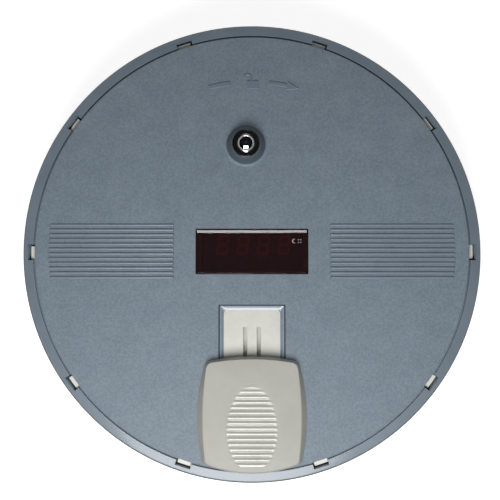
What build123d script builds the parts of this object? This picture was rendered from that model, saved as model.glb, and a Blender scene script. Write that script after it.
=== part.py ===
from build123d import *
import os
from math import atan2, cos, degrees, hypot, pi, radians, sin, sqrt, tan

# Automatic pill dispenser: a round base with a turning tray of 28 cells round a
# control hub, under a twist-lock lid with a sliding door and a key lock.
# Millimetres, +Z up. The origin is the centre of the footprint, on the surface
# that the feet stand on. -Y is the front, where the door is.

os.makedirs("parts", exist_ok=True)

# ---- Driving dimensions -------------------------------------------------------

# Clearances
running_gap = 0.3            # between pieces that move past each other
bearing_gap = 0.05           # round a shaft or plug in its bore
fitting_gap = 0.2            # between a fixed piece and its pocket

# Base moulding
overall_diameter = 266.7
base_wall = 2.5
base_floor = 3.0
base_height = 32.0           # from the underside to the ledge under the lid
base_bottom_corner = 7.0     # rounding where the side meets the underside
base_corner_flats = 3
base_side_draft = 4.0        # how far the side leans in towards the bottom
spigot_wall = 2.2            # the ring that the lid slips over
ledge_thickness = 2.2

# Feet
foot_diameter = 14.0
foot_height = 3.0
foot_seat_depth = 1.0
foot_count = 6
foot_inset = 21.05           # from the wall's lower edge to the middle of a foot

# Lid moulding
lid_skirt_height = 19.7
lid_skirt_wall = 2.75
lid_disc_wall = 2.5
lid_ring_wall = 2.0
lid_disc_step = 1.0          # the disc stands this much above the outer ring
lid_edge_round = 1.8
lid_ring_width = 6.95        # from the seam round the disc to the outer edge
seam_width = 0.5
seam_depth = 0.6
spigot_headroom = 1.5        # between the top of the spigot and the disc

# Bayonet between lid and base
lug_count = 10
window_seam_gap = 0.1        # from the disc's seam to the windows
window_radial = 3.1
window_length = 9.1
lug_height = 2.5
base_lug_length = 7.0
lid_lug_height = 2.7
lid_turn_angle = 3.6         # clockwise, from locked to free
stop_width = 3.0
stop_height = 8.0
stop_count = 2

# Ribs on the lid, a group on each side
rib_count = 12
rib_pitch = 2.757
rib_width = 1.3
rib_height = 0.55
rib_start_x = 45.7
rib_end_inset = 7.8          # from the seam to the circle that the ribs end on
rib_centre_y = 0.5

# Display window
window_width = 65.5
window_depth = 26.6
window_corner = 0.8
window_centre_y = 0.5
lens_flange = 3.0
lens_thickness = 2.0
lens_corner = 2.0
lens_rise = 0.9

# Pocket under the door, and the plate below it
pocket_width = 38.8
pocket_inner_y = -30.3
pocket_wall_run = 2.3        # how far the pocket's sloping walls come in
pocket_corner = 2.5
pocket_rim = 1.0
pocket_end_gap = 1.4
plate_thickness = 1.6
plate_border = 8.4           # what the plate shows beyond the pocket, under the lid
slot_spacing = 7.9
slot_width = 2.4
slot_inner_y = -43.3
plate_screw_inner = 7.7      # from the pocket's inner end to the first screws
plate_screw_rim_gap = 35.35   # from the outer screws to the lid's edge

# Sliding door
door_inner_y = -60.3
door_rim_gap = 4.75          # from the door's outer end to the lid's edge
door_inner_half = 26.7
door_belly_half = 31.6
door_outer_half = 28.5
door_inner_bow = 2.6         # how far the inner end bows out past its corners
door_outer_bow = 5.6
door_belly_share = 0.537     # of the length, from the inner end to the widest line
door_corner = 4.0
door_height = 6.7
door_side_run = 5.0          # how far the domed side comes in, from foot to top
door_wall = 2.2
door_travel = 27.0
grip_first_share = 0.243     # of the length, from the inner end to the first groove
grip_last_share = 0.9
grip_waves = 16
grip_depth = 1.0
grip_groove_share = 0.84     # of the pitch
grip_half_width = 15.75      # the grip is egg-shaped: two half ellipses that
grip_centre_share = 0.624    # meet at its widest line, at this share of the length
grip_inner_share = 0.42      # reach of each half, as a share of the length
grip_outer_share = 0.359
leg_thickness = 2.0
leg_length = 7.0
leg_barb = 1.0
leg_barb_height = 2.0
leg_barb_gap = 0.4

# Pill opening in the plate
pill_opening_gap = 1.3       # inside the cell's outer wall
pill_opening_depth = 19.5
pill_opening_angle = 10.6

# Lock
lock_x = -3.5
lock_y = 62.5
boss_foot_diameter = 22.0
boss_top_diameter = 17.6
boss_height = 7.0
boss_flare = 1.2
lock_head_diameter = 16.0
lock_bezel_width = 0.6
lock_head_height = 1.5
lock_barrel_diameter = 12.4
lock_plug_diameter = 9.6
keyway_inner_diameter = 5.0
keyway_outer_diameter = 7.6
keyway_depth = 3.5
keyway_notch_width = 1.4
keyway_notch_depth = 1.2
lock_nut_across = 17.0
lock_nut_height = 3.0
lock_barrel_below_lid = 3.6
cam_thickness = 1.4
cam_length = 12.0
cam_width = 8.0
cam_square = 5.0
cam_screw_head_height = 0.9
keeper_angle = 14.0          # the keeper stays over the cam while the lid turns
keeper_lip_r = 73.3
keeper_wall = 2.0
keeper_lip = 2.0
keeper_space = 3.5           # height of the space that the cam turns in
keeper_edge = 1.6            # from the keeper's back to the edge of the hub

# Tray of pills
cell_count = 28
tray_height = 30.0
tray_top_gap = 0.9
tray_side_gap = 0.8
tray_outer_wall = 1.4
tray_inner_wall = 1.5
tray_floor = 1.8
divider_thickness = 1.2
cell_corner = 2.0
tray_skirt_height = 3.0
tray_skirt_wall = 2.2

# Gear drive: teeth inside the tray's lower edge, and a pinion on the motor
gear_module = 1.5
pinion_teeth = 12
teeth_per_cell = 4
gear_face = 6.0
gear_addendum = 1.2
gear_dedendum = 2.0
tooth_sink = 0.5             # how deep a tooth is rooted in the wall
gear_half_tooth = 0.96       # half a tooth's thickness on the pitch circle
gear_flank_angle = 20.0
pinion_face = 5.0
motor_angle = 180.0

# Motor
motor_diameter = 24.0
motor_headroom = 2.0         # between the motor and the tray's underside
motor_edge = 0.8
motor_ear_spacing = 33.0
motor_ear_r = 3.6
motor_ear_thickness = 2.0
shaft_diameter = 3.0
shaft_depth_in_motor = 7.0

# Hub cover
hub_diameter = 159.0
hub_wall = 2.0
hub_top_wall = 2.0
hub_headroom = 6.5           # between the hub and the lid
hub_edge = 1.2
hub_locating_height = 6.0
hub_locating_wall = 2.2
hub_gate_width = 46.0        # the gap in the hub's wall at motor and pinion
hub_gate_gap = 2.5           # over the pinion
hub_screw_x = 54.0
hub_screw_y = 40.0

# Electronics
board_width = 96.0
board_depth = 72.0
board_centre_y = -4.0
board_thickness = 1.6
board_below_hub_top = 12.0
board_corner = 4.0
board_screw_inset = 5.0
module_width = 62.0
module_depth = 24.0
module_height = 8.0
module_edge = 0.6
module_view_margin = 1.0
button_names = ("hour_button", "minute_button", "set_button", "alarm_button")
button_spacing = 18.0
button_y = -27.0
button_diameter = 8.0
button_flange = 1.2
button_flange_height = 1.0
button_flange_gap = 0.4
button_stand = 2.5
button_edge = 0.6
button_travel = 0.8
switch_side = 6.0
switch_height = 4.2
switch_plunger_diameter = 3.4
switch_plunger_gap = 0.2
sounder_gap = 1.5            # beside the display module
sounder_y = 8.0
sounder_diameter = 12.0
sounder_height = 6.5
sound_hole_diameter = 1.6
sound_slots = 3
sound_slot_pitch = 3.0
sound_slot_length = 8.4
sensor_angle = 150.0
sensor_width = 10.0
sensor_depth = 6.0
sensor_gap = 1.0

# Batteries
cell_diameter = 14.2
cell_length = 49.2
cell_nub_diameter = 5.2
cell_nub_height = 1.3
cell_pitch = 15.0
battery_cell_count = 4
contact_side = 9.0
contact_thickness = 0.5
spring_length = 4.0
leaf_width = 5.0
leaf_thickness = 0.5
battery_room_wall = 1.8
battery_room_roof = 1.8
battery_door_lip = 3.0
battery_door_thickness = 1.8
battery_tab_r = 5.5
battery_tab_reach = 4.5
finger_grooves = 4
finger_groove_pitch = 3.0
finger_groove_depth = 0.6

# Power inlet in the back of the base
jack_width = 9.0
jack_height = 7.0
jack_depth = 7.8
jack_bore_diameter = 5.6
jack_pin_diameter = 2.0
jack_headroom = 0.5          # under the tray's skirt

# Fasteners
post_diameter = 7.0
screw_shank_diameter = 2.5
screw_head_diameter = 4.8
screw_head_height = 1.8
screw_grip = 6.0
plate_screw_length = 3.9

# ---- Derived levels and radii ---------------------------------------------------

overall_r = overall_diameter / 2
underside_z = foot_height - foot_seat_depth
floor_z = underside_z + base_floor
ledge_z = underside_z + base_height
ring_top_z = ledge_z + running_gap + lid_skirt_height
lid_top_z = ring_top_z + lid_disc_step
lid_under_z = lid_top_z - lid_disc_wall
ring_under_z = ring_top_z - lid_ring_wall
spigot_top_z = lid_under_z - spigot_headroom
base_lug_z = spigot_top_z - lug_height
lid_lug_top_z = base_lug_z - running_gap
lid_lug_z = lid_lug_top_z - lid_lug_height
plate_top_z = lid_under_z - pocket_rim
plate_z = plate_top_z - plate_thickness
tray_top_z = plate_z - tray_top_gap
tray_z = tray_top_z - tray_height
rail_top_z = tray_z - running_gap
jack_z = tray_z - tray_skirt_height - jack_headroom - jack_height

base_top_r = overall_r - running_gap
base_foot_r = base_top_r - base_side_draft
seam_r = overall_r - lid_ring_width
spigot_r = seam_r - fitting_gap
spigot_inner_r = spigot_r - spigot_wall
skirt_inner_r = overall_r - lid_skirt_wall
base_lug_r = skirt_inner_r - running_gap
lid_lug_r = spigot_r + running_gap
window_inner_r = seam_r + window_seam_gap
window_outer_r = window_inner_r + window_radial
window_mid_r = (window_inner_r + window_outer_r) / 2
lug_pitch_angle = 360 / lug_count

tray_r = spigot_inner_r - tray_side_gap
cell_outer_r = tray_r - tray_outer_wall
ring_teeth = cell_count * teeth_per_cell
ring_pitch_r = gear_module * ring_teeth / 2
pinion_pitch_r = gear_module * pinion_teeth / 2
pinion_centre_r = ring_pitch_r - pinion_pitch_r
tray_inner_r = ring_pitch_r + gear_dedendum
cell_inner_r = tray_inner_r + tray_inner_wall
cell_angle = 360 / cell_count
outer_rail_r = tray_r - tray_skirt_wall - running_gap
motor_x = pinion_centre_r * cos(radians(motor_angle))
motor_y = pinion_centre_r * sin(radians(motor_angle))
motor_top_z = tray_z - motor_headroom
motor_height = motor_top_z - floor_z
pinion_z = tray_z + (gear_face - pinion_face) / 2

hub_r = hub_diameter / 2
hub_top_z = lid_under_z - hub_headroom
hub_height = hub_top_z - floor_z
hub_gate_height = pinion_z + pinion_face + hub_gate_gap - floor_z
hub_under_z = hub_top_z - hub_top_wall
board_z = hub_top_z - board_below_hub_top
board_top_z = board_z + board_thickness
module_top_z = board_top_z + module_height
lock_circle_r = hypot(lock_x, lock_y)
lock_angle = degrees(atan2(lock_y, lock_x))
boss_top_z = lid_top_z + boss_height
lock_face_z = boss_top_z + lock_head_height
barrel_z = lid_under_z - lock_barrel_below_lid
cam_z = barrel_z - running_gap - cam_thickness
keeper_lip_z = hub_top_z + keeper_space

door_z = lid_top_z + running_gap
door_outer_y = door_rim_gap - overall_r
door_length = door_inner_y - door_outer_y
door_inner_corner_y = door_inner_y - door_inner_bow
door_belly_y = door_inner_y - door_belly_share * door_length
door_outer_corner_y = door_outer_y + door_outer_bow
grip_first_y = door_inner_y - grip_first_share * door_length
grip_pitch = (grip_last_share - grip_first_share) * door_length / (grip_waves - 1)
grip_groove_width = grip_groove_share * grip_pitch
grip_centre_y = door_inner_y - grip_centre_share * door_length
grip_inner_reach = grip_inner_share * door_length
grip_outer_reach = grip_outer_share * door_length
pill_opening_outer_r = cell_outer_r - pill_opening_gap
pill_opening_inner_r = pill_opening_outer_r - pill_opening_depth
plate_screw_rows = (pocket_inner_y - plate_screw_inner, plate_screw_rim_gap - overall_r)
sounder_x = module_width / 2 + sounder_gap + sounder_diameter / 2
foot_circle_r = base_foot_r - foot_inset
slot_outer_y = slot_inner_y - door_travel - leg_length - 2 * running_gap
leg_y = slot_inner_y - running_gap - door_travel - leg_length / 2
barb_top_z = plate_z - leg_barb_gap
leg_z = barb_top_z - leg_barb_height

battery_room_x = battery_cell_count * cell_pitch + 2 * fitting_gap
battery_room_y = cell_length + cell_nub_height + spring_length + 2 * contact_thickness
battery_cell_z = floor_z + cell_diameter / 2
battery_roof_z = floor_z + cell_diameter + fitting_gap
battery_tab_y = -(battery_room_y / 2 + battery_door_lip + battery_tab_reach)
post_r = post_diameter / 2
shank_r = screw_shank_diameter / 2
screw_head_r = screw_head_diameter / 2


# ---- Shared shapes ---------------------------------------------------------------


def degrees_for(length: float, radius: float) -> float:
    """Returns the angle that an arc of this length takes up on this radius."""
    return degrees(length / radius)


def ring_sector(inner_r: float, outer_r: float, middle: float, sweep: float) -> Sketch:
    """Returns the face between two radii, centred on the angle middle."""
    start = middle - sweep / 2
    with BuildSketch() as sector:
        with BuildLine():
            outer = CenterArc((0, 0), outer_r, start, sweep)
            inner = CenterArc((0, 0), inner_r, start, sweep)
            Line(outer @ 0, inner @ 0)
            Line(outer @ 1, inner @ 1)
        make_face()
    return sector.sketch


def pan_head_screw(length: float) -> Part:
    """Returns a screw whose head sits on the plane z = 0, with its shank below."""
    with BuildPart() as screw:
        with BuildSketch():
            Circle(screw_head_r)
        extrude(amount=screw_head_height)
        with BuildSketch():
            Circle(shank_r)
        extrude(amount=-length)
    return screw.part


def countersunk_screw(length: float) -> Part:
    """Returns a screw whose flat head ends on the plane z = 0, with its shank below."""
    with BuildPart() as screw:
        with BuildSketch(Plane.XZ):
            with BuildLine():
                Polyline(
                    (0, 0),
                    (screw_head_r, 0),
                    (shank_r, shank_r - screw_head_r),
                    (shank_r, -length),
                    (0, -length),
                    close=True,
                )
            make_face()
        revolve(axis=Axis.Z)
    return screw.part


def gear_tooth(root_r: float, pitch_r: float, tip_r: float, angle: float) -> Sketch:
    """Returns one straight-flanked tooth that points from root_r to tip_r."""
    lean = tan(radians(gear_flank_angle))
    root_half = gear_half_tooth + abs(root_r - pitch_r) * lean
    tip_half = gear_half_tooth - abs(tip_r - pitch_r) * lean
    with BuildSketch() as tooth:
        with BuildLine():
            Polyline(
                (root_r, -root_half),
                (tip_r, -tip_half),
                (tip_r, tip_half),
                (root_r, root_half),
                close=True,
            )
        make_face()
    return tooth.sketch.rotate(Axis.Z, angle)


screw_posts = [
    (x, y) for x in (-hub_screw_x, hub_screw_x) for y in (-hub_screw_y, hub_screw_y)
]
board_half_x = board_width / 2 - board_screw_inset
board_half_y = board_depth / 2 - board_screw_inset
board_posts = [
    (x, board_centre_y + y)
    for x in (-board_half_x, board_half_x)
    for y in (-board_half_y, board_half_y)
]
motor_ears = [(motor_x, motor_y - motor_ear_spacing / 2), (motor_x, motor_y + motor_ear_spacing / 2)]
motor_plane = Plane((motor_x, motor_y, floor_z))
plate_screw_x = pocket_width / 2 + plate_border / 2
plate_screws_at = [(x, y) for x in (-plate_screw_x, plate_screw_x) for y in plate_screw_rows]
button_xs = [button_spacing * (k - (len(button_names) - 1) / 2) for k in range(len(button_names))]

# ---- Base --------------------------------------------------------------------------

with BuildPart() as base_shell:
    # The moulded wall, ledge and spigot in one profile.
    with BuildSketch(Plane.XZ):
        with BuildLine():
            corner_top = underside_z + base_bottom_corner
            corner_r = base_foot_r - base_bottom_corner
            inner_wall_r = base_foot_r - base_wall
            # The rounded foot of the wall is drawn as even flats along its quarter circle.
            flats = [90 * step / base_corner_flats for step in range(base_corner_flats + 1)]
            rounded_foot = [
                (
                    corner_r + base_bottom_corner * sin(radians(turn)),
                    corner_top - base_bottom_corner * cos(radians(turn)),
                )
                for turn in flats
            ]
            Polyline((0, underside_z), *rounded_foot, (base_top_r, ledge_z))
            Polyline(
                (base_top_r, ledge_z),
                (spigot_r, ledge_z),
                (spigot_r, spigot_top_z),
                (spigot_inner_r, spigot_top_z),
                (spigot_inner_r, ledge_z - ledge_thickness),
                (inner_wall_r, ledge_z - ledge_thickness),
                (inner_wall_r, corner_top),
                (corner_r, floor_z),
                (0, floor_z),
            )
            Line((0, floor_z), (0, underside_z))
        make_face()
    revolve(axis=Axis.Z)
    # Bayonet lugs: each ends level with the counter-clockwise end of its window.
    lug_shift = degrees_for((window_length - base_lug_length) / 2, window_mid_r)
    with BuildSketch(Plane.XY.offset(base_lug_z)):
        for lug in range(lug_count):
            add(
                ring_sector(
                    spigot_inner_r + spigot_wall / 2,
                    base_lug_r,
                    lug * lug_pitch_angle + lug_shift,
                    degrees_for(base_lug_length, window_mid_r),
                )
            )
    extrude(amount=lug_height)
    # Stops for the lid's turn.
    with BuildSketch(Plane.XY.offset(ledge_z)):
        for stop in range(stop_count):
            add(
                ring_sector(
                    spigot_inner_r + spigot_wall / 2,
                    base_lug_r,
                    lug_pitch_angle / 2 + stop * 360 / stop_count,
                    degrees_for(stop_width, window_mid_r),
                )
            )
    extrude(amount=stop_height)
    # Two round rails that the tray turns on.
    with BuildSketch(Plane.XY.offset(floor_z)):
        Circle(outer_rail_r)
        Circle(outer_rail_r - base_wall, mode=Mode.SUBTRACT)
        Circle(cell_inner_r + base_wall)
        Circle(cell_inner_r, mode=Mode.SUBTRACT)
    extrude(amount=rail_top_z - floor_z)
    # The ring inside the hub cover's wall, open at the motor.
    with BuildSketch(Plane.XY.offset(floor_z)):
        Circle(hub_r - hub_wall - running_gap)
        Circle(hub_r - hub_wall - running_gap - hub_locating_wall, mode=Mode.SUBTRACT)
        with Locations((motor_x, motor_y)):
            Rectangle(motor_diameter * 2, hub_gate_width, mode=Mode.SUBTRACT)
    extrude(amount=hub_locating_height)
    # Posts for the hub cover, the board and the motor.
    with BuildSketch(Plane.XY.offset(floor_z)):
        with Locations(*screw_posts):
            Circle(post_r)
    extrude(amount=hub_under_z - floor_z)
    with BuildSketch(Plane.XY.offset(floor_z)):
        with Locations(*board_posts):
            Circle(post_r)
    extrude(amount=board_z - floor_z)
    with BuildSketch(Plane.XY.offset(floor_z)):
        with Locations(*motor_ears):
            Circle(motor_ear_r)
    extrude(amount=motor_height - motor_ear_thickness)
    # Battery room, open below.
    room_wall = 2 * battery_room_wall
    with BuildSketch(Plane.XY.offset(floor_z)):
        Rectangle(battery_room_x + room_wall, battery_room_y + room_wall)
    extrude(amount=battery_roof_z + battery_room_roof - floor_z)
    with BuildSketch(Plane.XY.offset(underside_z)):
        Rectangle(battery_room_x, battery_room_y)
    extrude(amount=battery_roof_z - underside_z, mode=Mode.SUBTRACT)
    door_x = battery_room_x + 2 * battery_door_lip
    door_y = battery_room_y + 2 * battery_door_lip
    with BuildSketch(Plane.XY.offset(underside_z)):
        Rectangle(door_x, door_y)
        with Locations((0, battery_tab_y)):
            Circle(battery_tab_r)
        with Locations((0, battery_tab_y / 2)):
            Rectangle(2 * battery_tab_r, -battery_tab_y)
    extrude(amount=battery_door_thickness + fitting_gap, mode=Mode.SUBTRACT)
    # The post that takes the battery door's screw.
    with BuildSketch(Plane.XY.offset(floor_z)):
        with Locations((0, battery_tab_y)):
            Circle(post_r)
    extrude(amount=screw_grip)
    # Pedestal and opening for the power inlet.
    jack_y = base_foot_r - fitting_gap - jack_depth / 2
    with BuildSketch(Plane.XY.offset(floor_z)):
        with Locations((0, jack_y - base_wall)):
            Rectangle(jack_width, jack_depth - base_wall)
    extrude(amount=jack_z - floor_z)
    with BuildSketch(Plane.XY.offset(jack_z)):
        with Locations((0, jack_y + base_wall)):
            Rectangle(jack_width, jack_depth + 2 * base_wall)
    extrude(amount=jack_height, mode=Mode.SUBTRACT)
    # Screw holes.
    with Locations(*[(x, y, hub_under_z) for x, y in screw_posts]):
        Hole(shank_r, screw_grip)
    with Locations(*[(x, y, board_z) for x, y in board_posts]):
        Hole(shank_r, screw_grip)
    with Locations(*[(x, y, motor_top_z - motor_ear_thickness) for x, y in motor_ears]):
        Hole(shank_r, screw_grip)
    with BuildSketch(Plane.XY.offset(underside_z)):
        with Locations((0, battery_tab_y)):
            Circle(shank_r)
    extrude(amount=base_floor + screw_grip - base_wall, mode=Mode.SUBTRACT)
    # Seats for the feet.
    with BuildSketch(Plane.XY.offset(underside_z)):
        with PolarLocations(foot_circle_r, foot_count, 180 / foot_count):
            Circle(foot_diameter / 2)
    extrude(amount=foot_seat_depth, mode=Mode.SUBTRACT)
base_shell.part.label = "base_shell"
export_step(base_shell.part, "parts/base_shell.step")

with BuildPart() as rubber_feet:
    with BuildSketch():
        with PolarLocations(foot_circle_r, foot_count, 180 / foot_count):
            Circle(foot_diameter / 2)
    extrude(amount=foot_height)
    chamfer(rubber_feet.edges().group_by(Axis.Z)[0], foot_seat_depth)
rubber_feet.part.label = "rubber_feet"
export_step(rubber_feet.part, "parts/rubber_feet.step")

with BuildPart() as battery_door:
    with BuildSketch(Plane.XY.offset(underside_z)):
        Rectangle(door_x - 2 * fitting_gap, door_y - 2 * fitting_gap)
        with Locations((0, battery_tab_y)):
            Circle(battery_tab_r - fitting_gap)
        with Locations((0, battery_tab_y / 2)):
            Rectangle(2 * (battery_tab_r - fitting_gap), -battery_tab_y)
    extrude(amount=battery_door_thickness)
    # Finger grooves across the end away from the screw.
    with BuildSketch(Plane.XY.offset(underside_z)):
        with Locations((0, battery_room_y / 3)):
            with GridLocations(0, finger_groove_pitch, 1, finger_grooves):
                Rectangle(battery_room_x / 3, finger_groove_pitch / 2)
    extrude(amount=finger_groove_depth, mode=Mode.SUBTRACT)
    with BuildSketch(Plane.XY.offset(underside_z)):
        with Locations((0, battery_tab_y)):
            Circle(shank_r + fitting_gap)
    extrude(amount=battery_door_thickness, mode=Mode.SUBTRACT)
    with BuildSketch(Plane.XY.offset(underside_z)):
        with Locations((0, battery_tab_y)):
            Circle(screw_head_r + fitting_gap)
    extrude(amount=screw_head_r - shank_r, taper=45, mode=Mode.SUBTRACT)
battery_door.part.label = "battery_door"
export_step(battery_door.part, "parts/battery_door.step")

with BuildPart() as battery_door_screw:
    with Locations(Location((0, battery_tab_y, underside_z), (180, 0, 0))):
        add(countersunk_screw(screw_grip))
battery_door_screw.part.label = "battery_door_screw"
export_step(battery_door_screw.part, "parts/battery_door_screw.step")

# Cells lie side by side, every other one the other way round.
battery_rows = [
    (cell_pitch * (k - (battery_cell_count - 1) / 2), 1 if k % 2 else -1)
    for k in range(battery_cell_count)
]
half_room_y = battery_room_y / 2
with BuildPart() as battery_cells:
    for row_x, side in battery_rows:
        nub_y = side * (half_room_y - contact_thickness)
        with BuildSketch(Plane((row_x, nub_y, battery_cell_z), z_dir=(0, -side, 0))):
            Circle(cell_nub_diameter / 2)
        extrude(amount=cell_nub_height)
        shoulder_y = nub_y - side * cell_nub_height
        with BuildSketch(Plane((row_x, shoulder_y, battery_cell_z), z_dir=(0, -side, 0))):
            Circle(cell_diameter / 2)
        extrude(amount=cell_length)
battery_cells.part.label = "battery_cells"
export_step(battery_cells.part, "parts/battery_cells.step")

with BuildPart() as battery_contacts:
    for row_x, side in battery_rows:
        for end in (-1, 1):
            end_plane = Plane((row_x, end * half_room_y, battery_cell_z), z_dir=(0, -end, 0))
            with BuildSketch(end_plane):
                Rectangle(contact_side, contact_side)
            extrude(amount=contact_thickness)
            if end != side:
                # The spring side: a leaf, bowed out to the flat end of its cell.
                bow_plane = Plane(
                    (row_x - leaf_width / 2, end * half_room_y, battery_cell_z),
                    x_dir=(0, -end, 0),
                    z_dir=(1, 0, 0),
                )
                leaf_reach = contact_thickness + spring_length
                leaf_half = contact_side / 2
                with BuildSketch(bow_plane):
                    Polygon((0, leaf_half), (leaf_reach, 0), (0, -leaf_half), align=None)
                    Polygon(
                        (0, leaf_half - leaf_thickness),
                        (leaf_reach - leaf_thickness, 0),
                        (0, leaf_thickness - leaf_half),
                        align=None,
                        mode=Mode.SUBTRACT,
                    )
                extrude(amount=leaf_width)
battery_contacts.part.label = "battery_contacts"
export_step(battery_contacts.part, "parts/battery_contacts.step")

with BuildPart() as power_jack:
    with BuildSketch(Plane.XY.offset(jack_z)):
        with Locations((0, jack_y)):
            Rectangle(jack_width - 2 * fitting_gap, jack_depth)
    extrude(amount=jack_height - fitting_gap)
    jack_mouth = Plane(
        (0, jack_y + jack_depth / 2, jack_z + jack_height / 2),
        z_dir=(0, -1, 0),
    )
    with BuildSketch(jack_mouth):
        Circle(jack_bore_diameter / 2)
        Circle(jack_pin_diameter / 2, mode=Mode.SUBTRACT)
    extrude(amount=jack_depth - base_wall, mode=Mode.SUBTRACT)
power_jack.part.label = "power_jack"
export_step(power_jack.part, "parts/power_jack.step")

# ---- Drive -------------------------------------------------------------------------

with BuildPart() as drive_motor:
    with BuildSketch(Plane.XY.offset(floor_z)):
        with Locations((motor_x, motor_y)):
            Circle(motor_diameter / 2)
    extrude(amount=motor_height)
    chamfer(drive_motor.edges().sort_by(Axis.Z)[-1], motor_edge)
    with BuildSketch(Plane.XY.offset(motor_top_z - motor_ear_thickness)):
        with Locations((motor_x, motor_y)):
            SlotCenterToCenter(motor_ear_spacing, 2 * motor_ear_r, rotation=90)
    extrude(amount=motor_ear_thickness)
    with Locations((motor_x, motor_y, motor_top_z)):
        Hole((shaft_diameter + 2 * bearing_gap) / 2, shaft_depth_in_motor + bearing_gap)
    with Locations(*[(x, y, motor_top_z) for x, y in motor_ears]):
        Hole(shank_r + fitting_gap, motor_ear_thickness)
drive_motor.part.label = "drive_motor"
export_step(drive_motor.part, "parts/drive_motor.step")

with BuildPart() as motor_screws:
    with Locations(*[(x, y, motor_top_z) for x, y in motor_ears]):
        add(pan_head_screw(screw_grip))
motor_screws.part.label = "motor_screws"
export_step(motor_screws.part, "parts/motor_screws.step")

with BuildPart() as motor_shaft:
    with BuildSketch(Plane.XY.offset(motor_top_z - shaft_depth_in_motor)):
        with Locations((motor_x, motor_y)):
            Circle(shaft_diameter / 2)
    extrude(amount=pinion_z + pinion_face - motor_top_z + shaft_depth_in_motor)
motor_shaft.part.label = "motor_shaft"
export_step(motor_shaft.part, "parts/motor_shaft.step")

# A pinion tooth stands in the ring's tooth gap on the line of centres.
with BuildPart() as drive_pinion:
    with BuildSketch(Plane.XY.offset(pinion_z)) as pinion_face_sketch:
        pinion_root_r = pinion_pitch_r - gear_dedendum + running_gap
        Circle(pinion_root_r)
        for tooth in range(pinion_teeth):
            add(
                gear_tooth(
                    pinion_root_r - fitting_gap,
                    pinion_pitch_r,
                    pinion_pitch_r + gear_addendum,
                    motor_angle + tooth * 360 / pinion_teeth,
                )
            )
        Circle(shaft_diameter / 2, mode=Mode.SUBTRACT)
    extrude(amount=pinion_face)
    drive_pinion.part.position = (motor_x, motor_y, 0)
drive_pinion.part.label = "drive_pinion"
export_step(drive_pinion.part, "parts/drive_pinion.step")

with BuildPart() as index_sensor:
    sensor_r = (cell_inner_r + cell_outer_r) / 2
    sensor_plane = Plane.XY.offset(floor_z).rotated((0, 0, sensor_angle))
    with BuildSketch(sensor_plane):
        with Locations((sensor_r, 0)):
            Rectangle(sensor_depth, sensor_width)
    extrude(amount=tray_z - sensor_gap - floor_z)
    with BuildSketch(Plane.XY.offset(tray_z - sensor_gap).rotated((0, 0, sensor_angle))):
        with Locations((sensor_r, -sensor_width / 4), (sensor_r, sensor_width / 4)):
            Circle(sensor_depth / 4)
    extrude(amount=-sensor_gap, mode=Mode.SUBTRACT)
index_sensor.part.label = "index_sensor"
export_step(index_sensor.part, "parts/index_sensor.step")

# ---- Tray --------------------------------------------------------------------------

with BuildPart() as pill_tray:
    with BuildSketch(Plane.XY.offset(tray_z)):
        Circle(tray_r)
        Circle(tray_inner_r, mode=Mode.SUBTRACT)
    extrude(amount=tray_height)
    # The cells, the first one at the front.
    with BuildSketch(Plane.XY.offset(tray_z + tray_floor)) as cell_faces:
        cell_mid_r = (cell_inner_r + cell_outer_r) / 2
        for cell in range(cell_count):
            add(
                ring_sector(
                    cell_inner_r,
                    cell_outer_r,
                    cell * cell_angle - 90,
                    cell_angle - degrees_for(divider_thickness, cell_mid_r),
                )
            )
        chamfer(cell_faces.vertices(), cell_corner)
    extrude(amount=tray_height - tray_floor, mode=Mode.SUBTRACT)
    # The skirt that keeps the tray centred on the outer rail.
    with BuildSketch(Plane.XY.offset(tray_z)):
        Circle(tray_r)
        Circle(tray_r - tray_skirt_wall, mode=Mode.SUBTRACT)
    extrude(amount=-tray_skirt_height)
    # The ring gear.
    with BuildSketch(Plane.XY.offset(tray_z)):
        for tooth in range(ring_teeth):
            add(
                gear_tooth(
                    tray_inner_r + tooth_sink,
                    ring_pitch_r,
                    ring_pitch_r - gear_addendum,
                    motor_angle + (tooth + 0.5) * 360 / ring_teeth,
                )
            )
    extrude(amount=gear_face)
pill_tray.part.label = "pill_tray"
export_step(pill_tray.part, "parts/pill_tray.step")

# ---- Hub ---------------------------------------------------------------------------

with BuildPart() as hub_cover:
    with BuildSketch(Plane.XY.offset(floor_z)):
        Circle(hub_r)
    extrude(amount=hub_height)
    chamfer(hub_cover.edges().sort_by(Axis.Z)[-1], hub_edge)
    with BuildSketch(Plane.XY.offset(floor_z)):
        Circle(hub_r - hub_wall)
    extrude(amount=hub_height - hub_top_wall, mode=Mode.SUBTRACT)
    # The gap for motor and pinion.
    with BuildSketch(Plane.XY.offset(floor_z)):
        with Locations((motor_x, motor_y)):
            Rectangle(motor_diameter, hub_gate_width)
    extrude(amount=hub_gate_height, mode=Mode.SUBTRACT)
    # The view of the display.
    with BuildSketch(Plane.XY.offset(hub_under_z)):
        with Locations((0, window_centre_y)):
            Rectangle(module_width - 2 * module_view_margin, module_depth - 2 * module_view_margin)
    extrude(amount=hub_top_wall, mode=Mode.SUBTRACT)
    with Locations(*[(x, button_y, hub_top_z) for x in button_xs]):
        Hole(button_diameter / 2 + running_gap, hub_top_wall)
    with BuildSketch(Plane.XY.offset(hub_under_z)):
        with Locations((sounder_x, sounder_y)):
            with GridLocations(0, sound_slot_pitch, 1, sound_slots):
                Rectangle(sound_slot_length, sound_slot_pitch / 2)
    extrude(amount=hub_top_wall, mode=Mode.SUBTRACT)
    with Locations(*[(x, y, hub_top_z) for x, y in screw_posts]):
        Hole(shank_r + fitting_gap, hub_top_wall)
hub_cover.part.label = "hub_cover"
export_step(hub_cover.part, "parts/hub_cover.step")

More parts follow.
